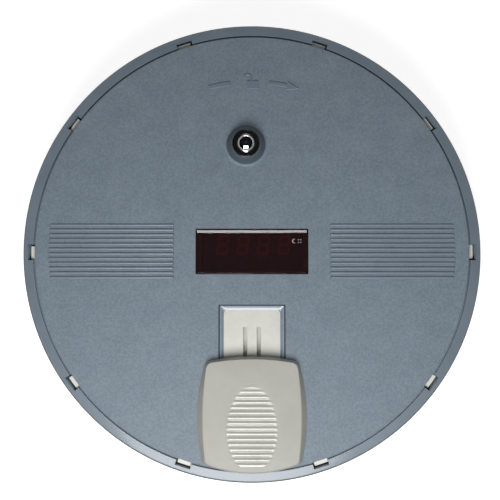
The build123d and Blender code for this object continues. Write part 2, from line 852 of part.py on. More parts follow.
# The lock's keeper: a curved bracket with a lip that the cam turns under.
with BuildPart() as lock_keeper:
    keeper_middle = lock_angle - lid_turn_angle / 2
    keeper_outer_r = hub_r - keeper_edge
    with BuildSketch(Plane.XY.offset(hub_top_z)):
        add(ring_sector(keeper_outer_r - keeper_wall, keeper_outer_r, keeper_middle, keeper_angle))
    extrude(amount=keeper_space)
    with BuildSketch(Plane.XY.offset(keeper_lip_z)):
        add(ring_sector(keeper_lip_r, keeper_outer_r, keeper_middle, keeper_angle))
    extrude(amount=keeper_lip)
lock_keeper.part.label = "lock_keeper"
export_step(lock_keeper.part, "parts/lock_keeper.step")

with BuildPart() as hub_cover_screws:
    with Locations(*[(x, y, hub_top_z) for x, y in screw_posts]):
        add(pan_head_screw(screw_grip))
hub_cover_screws.part.label = "hub_cover_screws"
export_step(hub_cover_screws.part, "parts/hub_cover_screws.step")

with BuildPart() as main_board:
    with BuildSketch(Plane.XY.offset(board_z)):
        with Locations((0, board_centre_y)):
            RectangleRounded(board_width, board_depth, board_corner)
        with Locations(*board_posts):
            Circle(shank_r + fitting_gap, mode=Mode.SUBTRACT)
    extrude(amount=board_thickness)
main_board.part.label = "main_board"
export_step(main_board.part, "parts/main_board.step")

with BuildPart() as board_screws:
    with Locations(*[(x, y, board_top_z) for x, y in board_posts]):
        add(pan_head_screw(screw_grip))
board_screws.part.label = "board_screws"
export_step(board_screws.part, "parts/board_screws.step")

with BuildPart() as led_display:
    with BuildSketch(Plane.XY.offset(board_top_z)):
        with Locations((0, window_centre_y)):
            Rectangle(module_width, module_depth)
    extrude(amount=module_height)
    chamfer(led_display.edges().group_by(Axis.Z)[-1], module_edge)
led_display.part.label = "led_display"
export_step(led_display.part, "parts/led_display.step")

with BuildPart() as tact_switches:
    with BuildSketch(Plane.XY.offset(board_top_z)):
        with Locations(*[(x, button_y) for x in button_xs]):
            Rectangle(switch_side, switch_side)
    extrude(amount=switch_height)
    button_foot_z = hub_under_z - button_flange_gap - button_flange_height
    plunger_top_z = button_foot_z - button_travel - switch_plunger_gap
    with BuildSketch(Plane.XY.offset(board_top_z + switch_height)):
        with Locations(*[(x, button_y) for x in button_xs]):
            Circle(switch_plunger_diameter / 2)
    extrude(amount=plunger_top_z - board_top_z - switch_height)
tact_switches.part.label = "tact_switches"
export_step(tact_switches.part, "parts/tact_switches.step")

with BuildPart() as sounder:
    with BuildSketch(Plane.XY.offset(board_top_z)):
        with Locations((sounder_x, sounder_y)):
            Circle(sounder_diameter / 2)
    extrude(amount=sounder_height)
    with Locations((sounder_x, sounder_y, board_top_z + sounder_height)):
        Hole(sound_hole_diameter / 2, sounder_height / 2)
sounder.part.label = "sounder"
export_step(sounder.part, "parts/sounder.step")

for name, x in zip(button_names, button_xs):
    with BuildPart() as button:
        with BuildSketch(Plane.XY.offset(hub_under_z - button_flange_gap)):
            with Locations((x, button_y)):
                Circle(button_diameter / 2)
        extrude(amount=button_flange_gap + hub_top_wall + button_stand)
        chamfer(button.edges().sort_by(Axis.Z)[-1], button_edge)
        with BuildSketch(Plane.XY.offset(hub_under_z - button_flange_gap)):
            with Locations((x, button_y)):
                Circle(button_diameter / 2 + button_flange)
        extrude(amount=-button_flange_height)
    button.part.label = name
    export_step(button.part, f"parts/{name}.step")

# ---- Lid ---------------------------------------------------------------------------


def pocket_outline(inset: float) -> Sketch:
    """Returns the pocket's outline, drawn in by inset: straight sides and a curved outer end."""
    half = pocket_width / 2 - inset
    end_r = spigot_inner_r - pocket_end_gap - inset
    inner_y = pocket_inner_y - inset
    end_y = -sqrt(end_r**2 - half**2)
    with BuildSketch() as outline:
        with BuildLine():
            Polyline((half, end_y), (half, inner_y), (-half, inner_y), (-half, end_y))
            ThreePointArc((-half, end_y), (0, -end_r), (half, end_y))
        make_face()
        fillet(outline.vertices(), pocket_corner)
    return outline.sketch


def plate_outline(inset: float) -> Sketch:
    """Returns the track plate's outline, drawn in by inset."""
    half = pocket_width / 2 + plate_border - inset
    end_r = spigot_inner_r - 2 * running_gap - inset
    inner_y = pocket_inner_y + plate_border / 2 - inset
    end_y = -sqrt(end_r**2 - half**2)
    with BuildSketch() as outline:
        with BuildLine():
            Polyline((half, end_y), (half, inner_y), (-half, inner_y), (-half, end_y))
            ThreePointArc((-half, end_y), (0, -end_r), (half, end_y))
        make_face()
        fillet(outline.vertices(), pocket_corner)
    return outline.sketch


with BuildPart() as lid_shell:
    with BuildSketch(Plane.XZ):
        with BuildLine():
            skirt_z = ledge_z + running_gap
            # The edge is rounded in two flats, at a third and two thirds of the turn.
            near, far = (lid_edge_round * (1 - cos(radians(turn))) for turn in (30, 60))
            Polyline(
                (overall_r, ring_top_z - lid_edge_round),
                (overall_r - near, ring_top_z - far),
                (overall_r - far, ring_top_z - near),
                (overall_r - lid_edge_round, ring_top_z),
                (seam_r + seam_width, ring_top_z),
                (seam_r + seam_width, ring_top_z - seam_depth),
                (seam_r, ring_top_z - seam_depth),
                (seam_r, lid_top_z),
                (0, lid_top_z),
                (0, lid_under_z),
                (spigot_inner_r, lid_under_z),
                (spigot_r, ring_under_z),
                (skirt_inner_r, ring_under_z),
                (skirt_inner_r, skirt_z),
                (overall_r, skirt_z),
                close=True,
            )
        make_face()
    revolve(axis=Axis.Z)
    # The land that the track plate is screwed to.
    with BuildSketch(Plane.XY.offset(plate_top_z)):
        add(plate_outline(0))
    extrude(amount=pocket_rim)
    # The pocket, with walls that slope in towards the plate.
    with BuildSketch(Plane.XY.offset(lid_top_z)):
        add(pocket_outline(0))
    with BuildSketch(Plane.XY.offset(plate_top_z)):
        add(pocket_outline(pocket_wall_run))
    loft(ruled=True, mode=Mode.SUBTRACT)
    # The boss of the lock, with a flared foot.
    boss_slope = (boss_foot_diameter - boss_top_diameter) / 2 / boss_height
    with BuildSketch(Plane((lock_x, lock_y, lid_top_z), x_dir=(1, 0, 0), z_dir=(0, -1, 0))):
        with BuildLine():
            Polyline(
                (0, 0),
                (boss_foot_diameter / 2 + boss_flare, 0),
                (boss_foot_diameter / 2 - boss_flare * boss_slope, boss_flare),
                (boss_top_diameter / 2, boss_height),
                (0, boss_height),
                close=True,
            )
        make_face()
    revolve(axis=Axis((lock_x, lock_y, lid_top_z), (0, 0, 1)))
    with Locations((lock_x, lock_y, boss_top_z)):
        Hole(lock_barrel_diameter / 2 + bearing_gap, boss_height + lid_disc_wall)
    # The window for the display.
    with BuildSketch(Plane.XY.offset(lid_under_z)):
        with Locations((0, window_centre_y)):
            RectangleRounded(window_width, window_depth, window_corner)
    extrude(amount=lid_disc_wall, mode=Mode.SUBTRACT)
    # Ten windows in the outer ring, over the bayonet lugs.
    with BuildSketch(Plane.XY.offset(ring_under_z)):
        for lug in range(lug_count):
            add(
                ring_sector(
                    window_inner_r,
                    window_outer_r,
                    lug * lug_pitch_angle,
                    degrees_for(window_length, window_mid_r),
                )
            )
    extrude(amount=lid_ring_wall, mode=Mode.SUBTRACT)
    # The lid's own lugs, one below each window.
    with BuildSketch(Plane.XY.offset(lid_lug_z)):
        for lug in range(lug_count):
            add(
                ring_sector(
                    lid_lug_r,
                    skirt_inner_r + lid_skirt_wall / 2,
                    lug * lug_pitch_angle,
                    degrees_for(window_length - running_gap, window_mid_r),
                )
            )
    extrude(amount=lid_lug_height)
    # Stops each side of the base's stop, for locked and free.
    turn_length = radians(lid_turn_angle) * window_mid_r
    with BuildSketch(Plane.XY.offset(ledge_z + 2 * running_gap)):
        for stop in range(stop_count):
            middle = lug_pitch_angle / 2 + stop * 360 / stop_count
            clear = stop_width + running_gap
            for offset_length in (-clear, clear + turn_length):
                add(
                    ring_sector(
                        lid_lug_r,
                        skirt_inner_r + lid_skirt_wall / 2,
                        middle + degrees_for(offset_length, window_mid_r),
                        degrees_for(stop_width, window_mid_r),
                    )
                )
    extrude(amount=stop_height - running_gap)
    # Two groups of ribs, whose outer ends lie on a circle.
    for side in (-1, 1):
        for rib in range(rib_count):
            rib_y = rib_centre_y + rib_pitch * (rib - (rib_count - 1) / 2)
            rib_end_x = sqrt((seam_r - rib_end_inset) ** 2 - rib_y**2)
            with BuildSketch(Plane((side * rib_start_x, rib_y, lid_top_z), x_dir=(0, 1, 0), z_dir=(side, 0, 0))):
                with BuildLine():
                    Polyline(
                        (-rib_width / 2, 0),
                        (-rib_width / 4, rib_height * side),
                        (rib_width / 4, rib_height * side),
                        (rib_width / 2, 0),
                        close=True,
                    )
                make_face()
            extrude(amount=rib_end_x - rib_start_x)
    # Screw holes for the track plate, from below.
    for x, y in plate_screws_at:
        with BuildSketch(Plane.XY.offset(plate_top_z)):
            with Locations((x, y)):
                Circle(shank_r)
        extrude(amount=plate_screw_length - plate_thickness, mode=Mode.SUBTRACT)
lid_shell.part.label = "lid_shell"
export_step(lid_shell.part, "parts/lid_shell.step")

with BuildPart() as display_window:
    with BuildSketch(Plane.XY.offset(lid_under_z - lens_thickness)):
        with Locations((0, window_centre_y)):
            RectangleRounded(
                window_width + 2 * lens_flange, window_depth + 2 * lens_flange, lens_corner
            )
    extrude(amount=lens_thickness)
    with BuildSketch(Plane.XY.offset(lid_under_z)):
        with Locations((0, window_centre_y)):
            Rectangle(window_width - 2 * fitting_gap, window_depth - 2 * fitting_gap)
    extrude(amount=lens_rise)
display_window.part.label = "display_window"
export_step(display_window.part, "parts/display_window.step")

with BuildPart() as track_plate:
    with BuildSketch(Plane.XY.offset(plate_z)):
        add(plate_outline(0))
        # Slots for the door's legs, open from below and above.
        slot_length = slot_inner_y - slot_outer_y
        with Locations(
            (-slot_spacing / 2, (slot_inner_y + slot_outer_y) / 2),
            (slot_spacing / 2, (slot_inner_y + slot_outer_y) / 2),
        ):
            Rectangle(slot_width, slot_length, mode=Mode.SUBTRACT)
        add(
            ring_sector(pill_opening_inner_r, pill_opening_outer_r, -90, pill_opening_angle),
            mode=Mode.SUBTRACT,
        )
    extrude(amount=plate_thickness)
    for x, y in plate_screws_at:
        with BuildSketch(Plane.XY.offset(plate_z)):
            with Locations((x, y)):
                Circle(shank_r + fitting_gap / 2)
        extrude(amount=plate_thickness, mode=Mode.SUBTRACT)
        with BuildSketch(Plane.XY.offset(plate_z)):
            with Locations((x, y)):
                Circle(screw_head_r + fitting_gap / 2)
        extrude(amount=screw_head_r - shank_r, taper=45, mode=Mode.SUBTRACT)
track_plate.part.label = "track_plate"
export_step(track_plate.part, "parts/track_plate.step")

with BuildPart() as track_plate_screws:
    with Locations(*[Location((x, y, plate_z), (180, 0, 0)) for x, y in plate_screws_at]):
        add(countersunk_screw(plate_screw_length))
track_plate_screws.part.label = "track_plate_screws"
export_step(track_plate_screws.part, "parts/track_plate_screws.step")

# ---- Lock --------------------------------------------------------------------------

lock_plane = Plane((lock_x, lock_y, 0))
bezel_inner_r = lock_head_diameter / 2 - lock_bezel_width
with BuildPart() as lock_body:
    with BuildSketch(lock_plane.offset(barrel_z)):
        Circle(lock_barrel_diameter / 2)
    extrude(amount=boss_top_z - barrel_z)
    with BuildSketch(lock_plane.offset(boss_top_z)):
        Circle(bezel_inner_r)
    extrude(amount=lock_head_height)
    with BuildSketch(lock_plane.offset(barrel_z)):
        Circle(lock_plug_diameter / 2 + bearing_gap)
    extrude(amount=lock_face_z - barrel_z, mode=Mode.SUBTRACT)
lock_body.part.label = "lock_body"
export_step(lock_body.part, "parts/lock_body.step")

with BuildPart() as lock_bezel:
    with BuildSketch(lock_plane.offset(boss_top_z)):
        Circle(lock_head_diameter / 2)
        Circle(bezel_inner_r, mode=Mode.SUBTRACT)
    extrude(amount=lock_head_height)
lock_bezel.part.label = "lock_bezel"
export_step(lock_bezel.part, "parts/lock_bezel.step")

with BuildPart() as lock_nut:
    with BuildSketch(lock_plane.offset(lid_under_z - lock_nut_height)):
        RegularPolygon(lock_nut_across / 2, 6, major_radius=False)
        Circle(lock_barrel_diameter / 2, mode=Mode.SUBTRACT)
    extrude(amount=lock_nut_height)
lock_nut.part.label = "lock_nut"
export_step(lock_nut.part, "parts/lock_nut.step")

with BuildPart() as lock_plug:
    with BuildSketch(lock_plane.offset(barrel_z)):
        Circle(lock_plug_diameter / 2)
    extrude(amount=lock_face_z - barrel_z)
    with BuildSketch(lock_plane.offset(cam_z)):
        Rectangle(cam_square, cam_square)
    extrude(amount=barrel_z - cam_z)
    # The round keyway, with its notch, round a centre post.
    with BuildSketch(lock_plane.offset(lock_face_z)):
        Circle(keyway_outer_diameter / 2)
        Circle(keyway_inner_diameter / 2, mode=Mode.SUBTRACT)
        with Locations((0, -keyway_outer_diameter / 2)):
            Rectangle(keyway_notch_width, keyway_notch_depth)
    extrude(amount=-keyway_depth, mode=Mode.SUBTRACT)
lock_plug.part.label = "lock_plug"
export_step(lock_plug.part, "parts/lock_plug.step")

with BuildPart() as lock_cam:
    with BuildSketch(lock_plane.offset(cam_z)):
        cam_reach = cam_length - cam_width / 2
        Circle(cam_width / 2)
        with Locations((0, cam_reach / 2)):
            Rectangle(cam_width, cam_reach)
        with Locations((0, cam_reach)):
            Circle(cam_width / 2)
        Rectangle(cam_square, cam_square, mode=Mode.SUBTRACT)
    extrude(amount=cam_thickness)
lock_cam.part.label = "lock_cam"
export_step(lock_cam.part, "parts/lock_cam.step")

with BuildPart() as cam_screw:
    with BuildSketch(lock_plane.offset(cam_z)):
        Circle(cam_square / sqrt(2) + fitting_gap)
    extrude(amount=-cam_screw_head_height)
cam_screw.part.label = "cam_screw"
export_step(cam_screw.part, "parts/cam_screw.step")

# ---- Sliding door --------------------------------------------------------------------


def door_outline(inset: float) -> Sketch:
    """Returns the door's footprint, drawn in by inset: four wide curves with rounded corners."""
    inner = (door_inner_half - inset, door_inner_corner_y - inset)
    belly = (door_belly_half - inset, door_belly_y)
    outer = (door_outer_half - inset, door_outer_corner_y + inset)
    with BuildSketch() as outline:
        with BuildLine():
            ThreePointArc(inner, (0, door_inner_y - inset), (-inner[0], inner[1]))
            ThreePointArc((-inner[0], inner[1]), (-belly[0], belly[1]), (-outer[0], outer[1]))
            ThreePointArc((-outer[0], outer[1]), (0, door_outer_y + inset), outer)
            ThreePointArc(outer, belly, inner)
        make_face()
        fillet(outline.vertices(), door_corner)
    return outline.sketch


def grip_groove(groove_y: float) -> Part:
    """Returns the cutter of one groove, which follows a long arc and so runs out in points."""
    reach = grip_inner_reach if groove_y > grip_centre_y else grip_outer_reach
    half_width = grip_half_width * sqrt(1 - ((groove_y - grip_centre_y) / reach) ** 2)
    arc_r = (half_width**2 + grip_depth**2) / (2 * grip_depth)
    bottom_z = door_top_z - grip_depth
    half_groove = grip_groove_width / 2
    arc_axis = Axis((0, groove_y, bottom_z + arc_r), (0, 1, 0))
    turn = 3 * degrees(half_width / arc_r)
    with BuildPart() as groove:
        with BuildSketch(Plane.YZ):
            with Locations((groove_y, bottom_z)):
                Polygon((-half_groove, grip_depth), (0, 0), (half_groove, grip_depth), align=None)
        revolve(axis=arc_axis, revolution_arc=turn)
    return groove.part.rotate(arc_axis, -turn / 2)


door_top_z = door_z + door_height
door_roof_z = door_top_z - grip_depth - door_wall
# The side's profile, from the foot to the top, as shares of its run and height.
door_profile = ((0, 0), (0.2, 0.48), (0.55, 0.84), (1, 1))
with BuildPart() as slide_door:
    for run, rise in door_profile:
        with BuildSketch(Plane.XY.offset(door_z + rise * door_height)):
            add(door_outline(run * door_side_run))
    loft(ruled=True)
    # The hollow underside.
    with BuildSketch(Plane.XY.offset(door_z)):
        add(door_outline(door_wall))
    with BuildSketch(Plane.XY.offset(door_roof_z)):
        add(door_outline(door_wall + door_side_run / 2))
    loft(ruled=True, mode=Mode.SUBTRACT)
    # The finger grip.
    for wave in range(grip_waves):
        add(grip_groove(grip_first_y - wave * grip_pitch), mode=Mode.SUBTRACT)
    # Two snap legs through the slots, with barbs under the track plate.
    for side in (-1, 1):
        with BuildSketch(Plane.XY.offset(leg_z)):
            with Locations((side * slot_spacing / 2, leg_y)):
                Rectangle(leg_thickness, leg_length)
        extrude(amount=door_roof_z + door_wall / 2 - leg_z)
        with BuildSketch(Plane.XY.offset(leg_z)):
            with Locations((side * (slot_spacing + leg_barb) / 2, leg_y)):
                Rectangle(leg_thickness + leg_barb, leg_length)
        extrude(amount=leg_barb_height)
slide_door.part.label = "slide_door"
export_step(slide_door.part, "parts/slide_door.step")
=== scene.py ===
"""Round automatic pill dispenser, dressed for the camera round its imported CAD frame.

Every size in this file is in millimetres, in the frame of the CAD: +Z up, -Y the front, where the
sliding door is. The shape functions turn millimetres into Blender's metres.
"""

import logging
import math
from collections.abc import Callable, Iterator, Sequence
from contextlib import contextmanager
from dataclasses import dataclass
from enum import Enum

import bmesh
import bpy
from bpy.types import Material, Node, NodeSocket, NodeTree, Object
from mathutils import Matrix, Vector


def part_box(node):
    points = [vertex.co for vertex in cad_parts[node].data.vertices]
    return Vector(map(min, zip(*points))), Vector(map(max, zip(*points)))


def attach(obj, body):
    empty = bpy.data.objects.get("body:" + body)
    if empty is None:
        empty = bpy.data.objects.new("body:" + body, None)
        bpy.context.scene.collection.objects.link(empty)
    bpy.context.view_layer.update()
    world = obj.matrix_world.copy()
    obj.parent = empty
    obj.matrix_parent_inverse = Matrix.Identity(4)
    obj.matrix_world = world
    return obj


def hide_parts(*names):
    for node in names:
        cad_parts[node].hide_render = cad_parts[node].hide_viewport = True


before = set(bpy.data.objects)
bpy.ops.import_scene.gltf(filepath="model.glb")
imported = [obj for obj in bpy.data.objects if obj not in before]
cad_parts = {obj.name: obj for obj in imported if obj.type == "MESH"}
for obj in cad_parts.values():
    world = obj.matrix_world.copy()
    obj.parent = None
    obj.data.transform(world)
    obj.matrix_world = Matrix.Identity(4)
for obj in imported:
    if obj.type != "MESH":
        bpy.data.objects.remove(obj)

log = logging.getLogger("pill_dispenser")

MM = 0.001
TURN = 2 * math.pi

Point = tuple[float, float]
Section = tuple[Sequence[Point], float]


# ---- Measuring ----------------------------------------------------------------------------------


def metres(x: float, y: float, z: float = 0.0) -> Vector:
    """Returns a point given in millimetres as one in metres."""
    return Vector((x, y, z)) * MM


def foot_of(node: str) -> float:
    """Returns the height of a CAD node's lowest point, in millimetres."""
    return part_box(node)[0].z / MM


def top_of(node: str) -> float:
    """Returns the height of a CAD node's highest point, in millimetres."""
    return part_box(node)[1].z / MM


def middle_of(node: str) -> Point:
    """Returns the middle of a CAD node's box, seen from above."""
    low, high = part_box(node)
    return (low.x + high.x) / 2 / MM, (low.y + high.y) / 2 / MM


# ---- Outlines -----------------------------------------------------------------------------------


def on_circle(radius: float, turn: float, centre: Point = (0.0, 0.0)) -> Point:
    """Returns the point of a circle at an angle in degrees."""
    return (
        centre[0] + radius * math.cos(math.radians(turn)),
        centre[1] + radius * math.sin(math.radians(turn)),
    )


def arc(radius: float, start: float, end: float, steps: int, centre: Point = (0.0, 0.0)) -> list[Point]:
    """Returns points along an arc.

    Args:
        radius: Of the arc.
        start: Angle of the first point, in degrees.
        end: Angle of the last point, in degrees.
        steps: Number of straight runs.
        centre: Of the arc.

    Returns:
        steps + 1 points.
    """
    return [on_circle(radius, start + (end - start) * k / steps, centre) for k in range(steps + 1)]


def sector(inner: float, outer: float, middle: float, length: float, steps: int = 6) -> list[Point]:
    """Returns the outline of a piece of a ring.

    Args:
        inner: Inner radius.
        outer: Outer radius.
        middle: Angle of its middle, in degrees.
        length: Its length along the mean radius.
        steps: Straight runs in each arc.

    Returns:
        The outline, counter-clockwise.
    """
    half = math.degrees(length / (inner + outer))
    return arc(outer, middle - half, middle + half, steps) + arc(inner, middle + half, middle - half, steps)


def rounded(corners: Sequence[tuple[float, float, float]], steps: int = 5) -> list[Point]:
    """Returns an outline with rounded corners.

    Args:
        corners: x, y and radius of each corner, counter-clockwise.
        steps: Straight runs in each rounded corner.

    Returns:
        The outline's points.
    """
    points: list[Point] = []
    for k, (x, y, radius) in enumerate(corners):
        if radius <= 0:
            points.append((x, y))
            continue
        here = Vector((x, y))
        back = (Vector(corners[k - 1][:2]) - here).normalized()
        ahead = (Vector(corners[(k + 1) % len(corners)][:2]) - here).normalized()
        half = back.angle(ahead) / 2
        centre = here + (back + ahead).normalized() * (radius / math.sin(half))
        first = here + back * (radius / math.tan(half)) - centre
        last = here + ahead * (radius / math.tan(half)) - centre
        start = math.degrees(math.atan2(first.y, first.x))
        sweep = math.degrees(math.atan2(first.cross(last), first.dot(last)))
        points += arc(radius, start, start + sweep, steps, (centre.x, centre.y))
    return points


def box_outline(width: float, depth: float, radius: float = 0.0, centre: Point = (0.0, 0.0)) -> list[Point]:
    """Returns a rectangle's outline, with rounded corners where a radius is given."""
    x, y = width / 2, depth / 2
    corners = [(x, -y), (x, y), (-x, y), (-x, -y)]
    return rounded([(centre[0] + a, centre[1] + b, radius) for a, b in corners])


# ---- Hand tools ---------------------------------------------------------------------------------


def pick_up(*pieces: Object) -> None:
    """Selects these pieces alone, and makes the first one active."""
    bpy.ops.object.select_all(action="DESELECT")
    for piece in pieces:
        piece.select_set(True)
    bpy.context.view_layer.objects.active = pieces[0]


@contextmanager
def editing(piece: Object) -> Iterator[None]:
    """Opens edit mode on one piece, and closes it again."""
    pick_up(piece)
    bpy.ops.object.mode_set(mode="EDIT")
    bpy.ops.mesh.select_mode(type="VERT")
    yield
    bpy.ops.object.mode_set(mode="OBJECT")


def select_faces(piece: Object, wanted: Callable[[Vector, Vector], bool]) -> None:
    """In edit mode, selects the faces that a test wants.

    Args:
        piece: The piece that is being edited.
        wanted: Takes a face's middle, in millimetres, and its normal.
    """
    mesh = bmesh.from_edit_mesh(piece.data)
    bpy.ops.mesh.select_mode(type="FACE")
    for face in mesh.faces:
        face.select_set(wanted(face.calc_center_median() / MM, face.normal))
    mesh.select_flush_mode()
    bmesh.update_edit_mesh(piece.data)


def select_edges(piece: Object, wanted: Callable[[Vector, Vector], bool]) -> None:
    """In edit mode, selects the edges that a test wants.

    Args:
        piece: The piece that is being edited.
        wanted: Takes an edge's two ends, in millimetres.
    """
    mesh = bmesh.from_edit_mesh(piece.data)
    bpy.ops.mesh.select_mode(type="EDGE")
    for edge in mesh.edges:
        edge.select_set(wanted(edge.verts[0].co / MM, edge.verts[1].co / MM))
    mesh.select_flush_mode()
    bmesh.update_edit_mesh(piece.data)


def trace(name: str, points: Sequence[Vector]) -> Object:
    """Draws a line from point to point, by extruding one vertex.

    Args:
        name: Of the new piece.
        points: In metres.

    Returns:
        The piece, a line of edges.
    """
    bpy.ops.object.select_all(action="DESELECT")
    bpy.ops.mesh.primitive_plane_add(size=MM)
    line = bpy.context.active_object
    line.name = name
    with editing(line):
        bpy.ops.mesh.select_all(action="SELECT")
        bpy.ops.mesh.merge(type="CENTER")
        bpy.ops.transform.translate(value=points[0])
        for here, ahead in zip(points, points[1:]):
            bpy.ops.mesh.extrude_region_move(TRANSFORM_OT_translate={"value": ahead - here})
    return line


def tidy(piece: Object) -> Object:
    """Merges a piece's doubled points, and turns its faces outwards."""
    with editing(piece):
        bpy.ops.mesh.select_all(action="SELECT")
        bpy.ops.mesh.remove_doubles(threshold=MM / 500)
        bpy.ops.mesh.delete_loose(use_verts=True, use_edges=True, use_faces=False)
        bpy.ops.mesh.select_all(action="SELECT")
        bpy.ops.mesh.normals_make_consistent(inside=False)
    return piece


def turned(name: str, profile: Sequence[Point], steps: int = 96, centre: Point = (0.0, 0.0)) -> Object:
    """Spins a closed profile round an upright axis.

    Args:
        name: Of the new piece.
        profile: Radius and height of each point.
        steps: Runs in the full turn.
        centre: Where the axis stands.

    Returns:
        The closed piece.
    """
    closed = [*profile, profile[0]]
    piece = trace(name, [metres(centre[0] + r, centre[1], z) for r, z in closed])
    with editing(piece):
        bpy.ops.mesh.select_all(action="SELECT")
        bpy.ops.mesh.spin(steps=steps, angle=TURN, center=metres(*centre), axis=(0, 0, 1))
    return tidy(piece)


def lofted(name: str, sections: Sequence[Section]) -> Object:
    """Extrudes an outline through further outlines with as many points.

    Args:
        name: Of the new piece.
        sections: Each outline, and the height that it lies at.

    Returns:
        The closed piece.
    """
    outline, height = sections[0]
    piece = trace(name, [metres(x, y, height) for x, y in outline])
    with editing(piece):
        bpy.ops.mesh.select_all(action="SELECT")
        bpy.ops.mesh.edge_face_add()
        for ahead, ahead_z in sections[1:]:
            bpy.ops.mesh.extrude_region()
            mesh = bmesh.from_edit_mesh(piece.data)
            moving = [vertex for vertex in mesh.verts if vertex.select]
            for vertex in moving:
                near = min(
                    range(len(outline)),
                    key=lambda k: (vertex.co.x / MM - outline[k][0]) ** 2 + (vertex.co.y / MM - outline[k][1]) ** 2,
                )
                vertex.co = metres(*ahead[near], ahead_z)
            bmesh.update_edit_mesh(piece.data)
            outline = ahead
    return tidy(piece)


def raised(name: str, outline: Sequence[Point], foot: float, top: float) -> Object:
    """Extrudes an outline straight up from the height foot to the height top."""
    return lofted(name, [(outline, foot), (outline, top)])


def modify(piece: Object, kind: str, **settings: object) -> Object:
    """Adds a modifier with its settings, and applies it."""
    pick_up(piece)
    modifier = piece.modifiers.new(kind.title(), kind)
    for name, value in settings.items():
        setattr(modifier, name, value)
    bpy.ops.object.modifier_apply(modifier=modifier.name)
    return piece


def cut(piece: Object, *tools: Object) -> Object:
    """Takes the tools' volumes out of a piece, and clears the tools away."""
    for tool in tools:
        modify(piece, "BOOLEAN", operation="DIFFERENCE", solver="EXACT", object=tool)
        bpy.data.objects.remove(tool)
    return piece


def weld(piece: Object, *others: Object) -> Object:
    """Makes a piece and the others that overlap it one closed form."""
    for other in others:
        modify(piece, "BOOLEAN", operation="UNION", solver="EXACT", object=other)
        bpy.data.objects.remove(other)
    return piece


def gather(pieces: Sequence[Object]) -> Object:
    """Joins pieces that don't overlap into one object."""
    pick_up(*pieces)
    bpy.ops.object.join()
    return pieces[0]


def soften(piece: Object, width: float, runs: int = 3, angle: float = 40.0) -> Object:
    """Rounds every edge that is sharper than an angle, in degrees."""
    return modify(
        piece,
        "BEVEL",
        width=width * MM,
        segments=runs,
        limit_method="ANGLE",
        angle_limit=math.radians(angle),
        use_clamp_overlap=True,
        harden_normals=False,
    )


def again(piece: Object, name: str, shift: Vector | None = None, turn: float = 0.0) -> Object:
    """Copies a piece with a mesh of its own, then moves and turns the copy's mesh.

    Args:
        piece: What is copied.
        name: Of the copy.
        shift: How far it moves, in millimetres.
        turn: How far it turns round the upright axis through the origin, in degrees.

    Returns:
        The copy.
    """
    copy = bpy.data.objects.new(name, piece.data.copy())
    bpy.context.scene.collection.objects.link(copy)
    with editing(copy):
        bpy.ops.mesh.select_all(action="SELECT")
        if shift is not None:
            bpy.ops.transform.translate(value=shift * MM)
        if turn:
            bpy.ops.transform.rotate(value=-math.radians(turn), orient_axis="Z", center_override=(0, 0, 0))
    return copy


def smooth(piece: Object, angle: float = 35.0) -> Object:
    """Shades a piece smooth up to an angle, with the large faces ruling the normals."""
    pick_up(piece)
    bpy.ops.object.shade_smooth_by_angle(angle=math.radians(angle))
    return modify(piece, "WEIGHTED_NORMAL", keep_sharp=True, weight=80)


# ---- Finishes -----------------------------------------------------------------------------------


def linear(colour: str) -> tuple[float, float, float, float]:
    """Returns an sRGB hex colour as linear red, green, blue and alpha."""
    parts = [int(colour.lstrip("#")[k : k + 2], 16) / 255 for k in (0, 2, 4)]
    red, green, blue = (c / 12.92 if c <= 0.04045 else ((c + 0.055) / 1.055) ** 2.4 for c in parts)
    return red, green, blue, 1.0


def add_node(
    tree: NodeTree,
    kind: str,
    settings: dict[str, object] | None = None,
    inputs: dict[str | int, object] | None = None,
) -> Node:
    """Adds a shader node with its settings and links.

    Args:
        tree: The material's or the world's nodes.
        kind: The node's Blender type.
        settings: Properties of the node.
        inputs: By name or number, a constant or the output socket that feeds it.

    Returns:
        The new node.
    """
    node = tree.nodes.new(kind)
    for name, value in (settings or {}).items():
        setattr(node, name, value)
    for key, value in (inputs or {}).items():
        if isinstance(value, NodeSocket):
            tree.links.new(value, node.inputs[key])
        else:
            node.inputs[key].default_value = value
    return node


def per_metre(size: float) -> float:
    """Returns the texture scale whose features are about size millimetres across."""
    return 1 / (size * MM)


class Sheen(Enum):
    """How a moulded or plated surface was left, as its roughness."""

    POLISHED = 0.08
    GLOSSY = 0.28
    SATIN = 0.42
    TEXTURED = 0.56
    MATT = 0.75


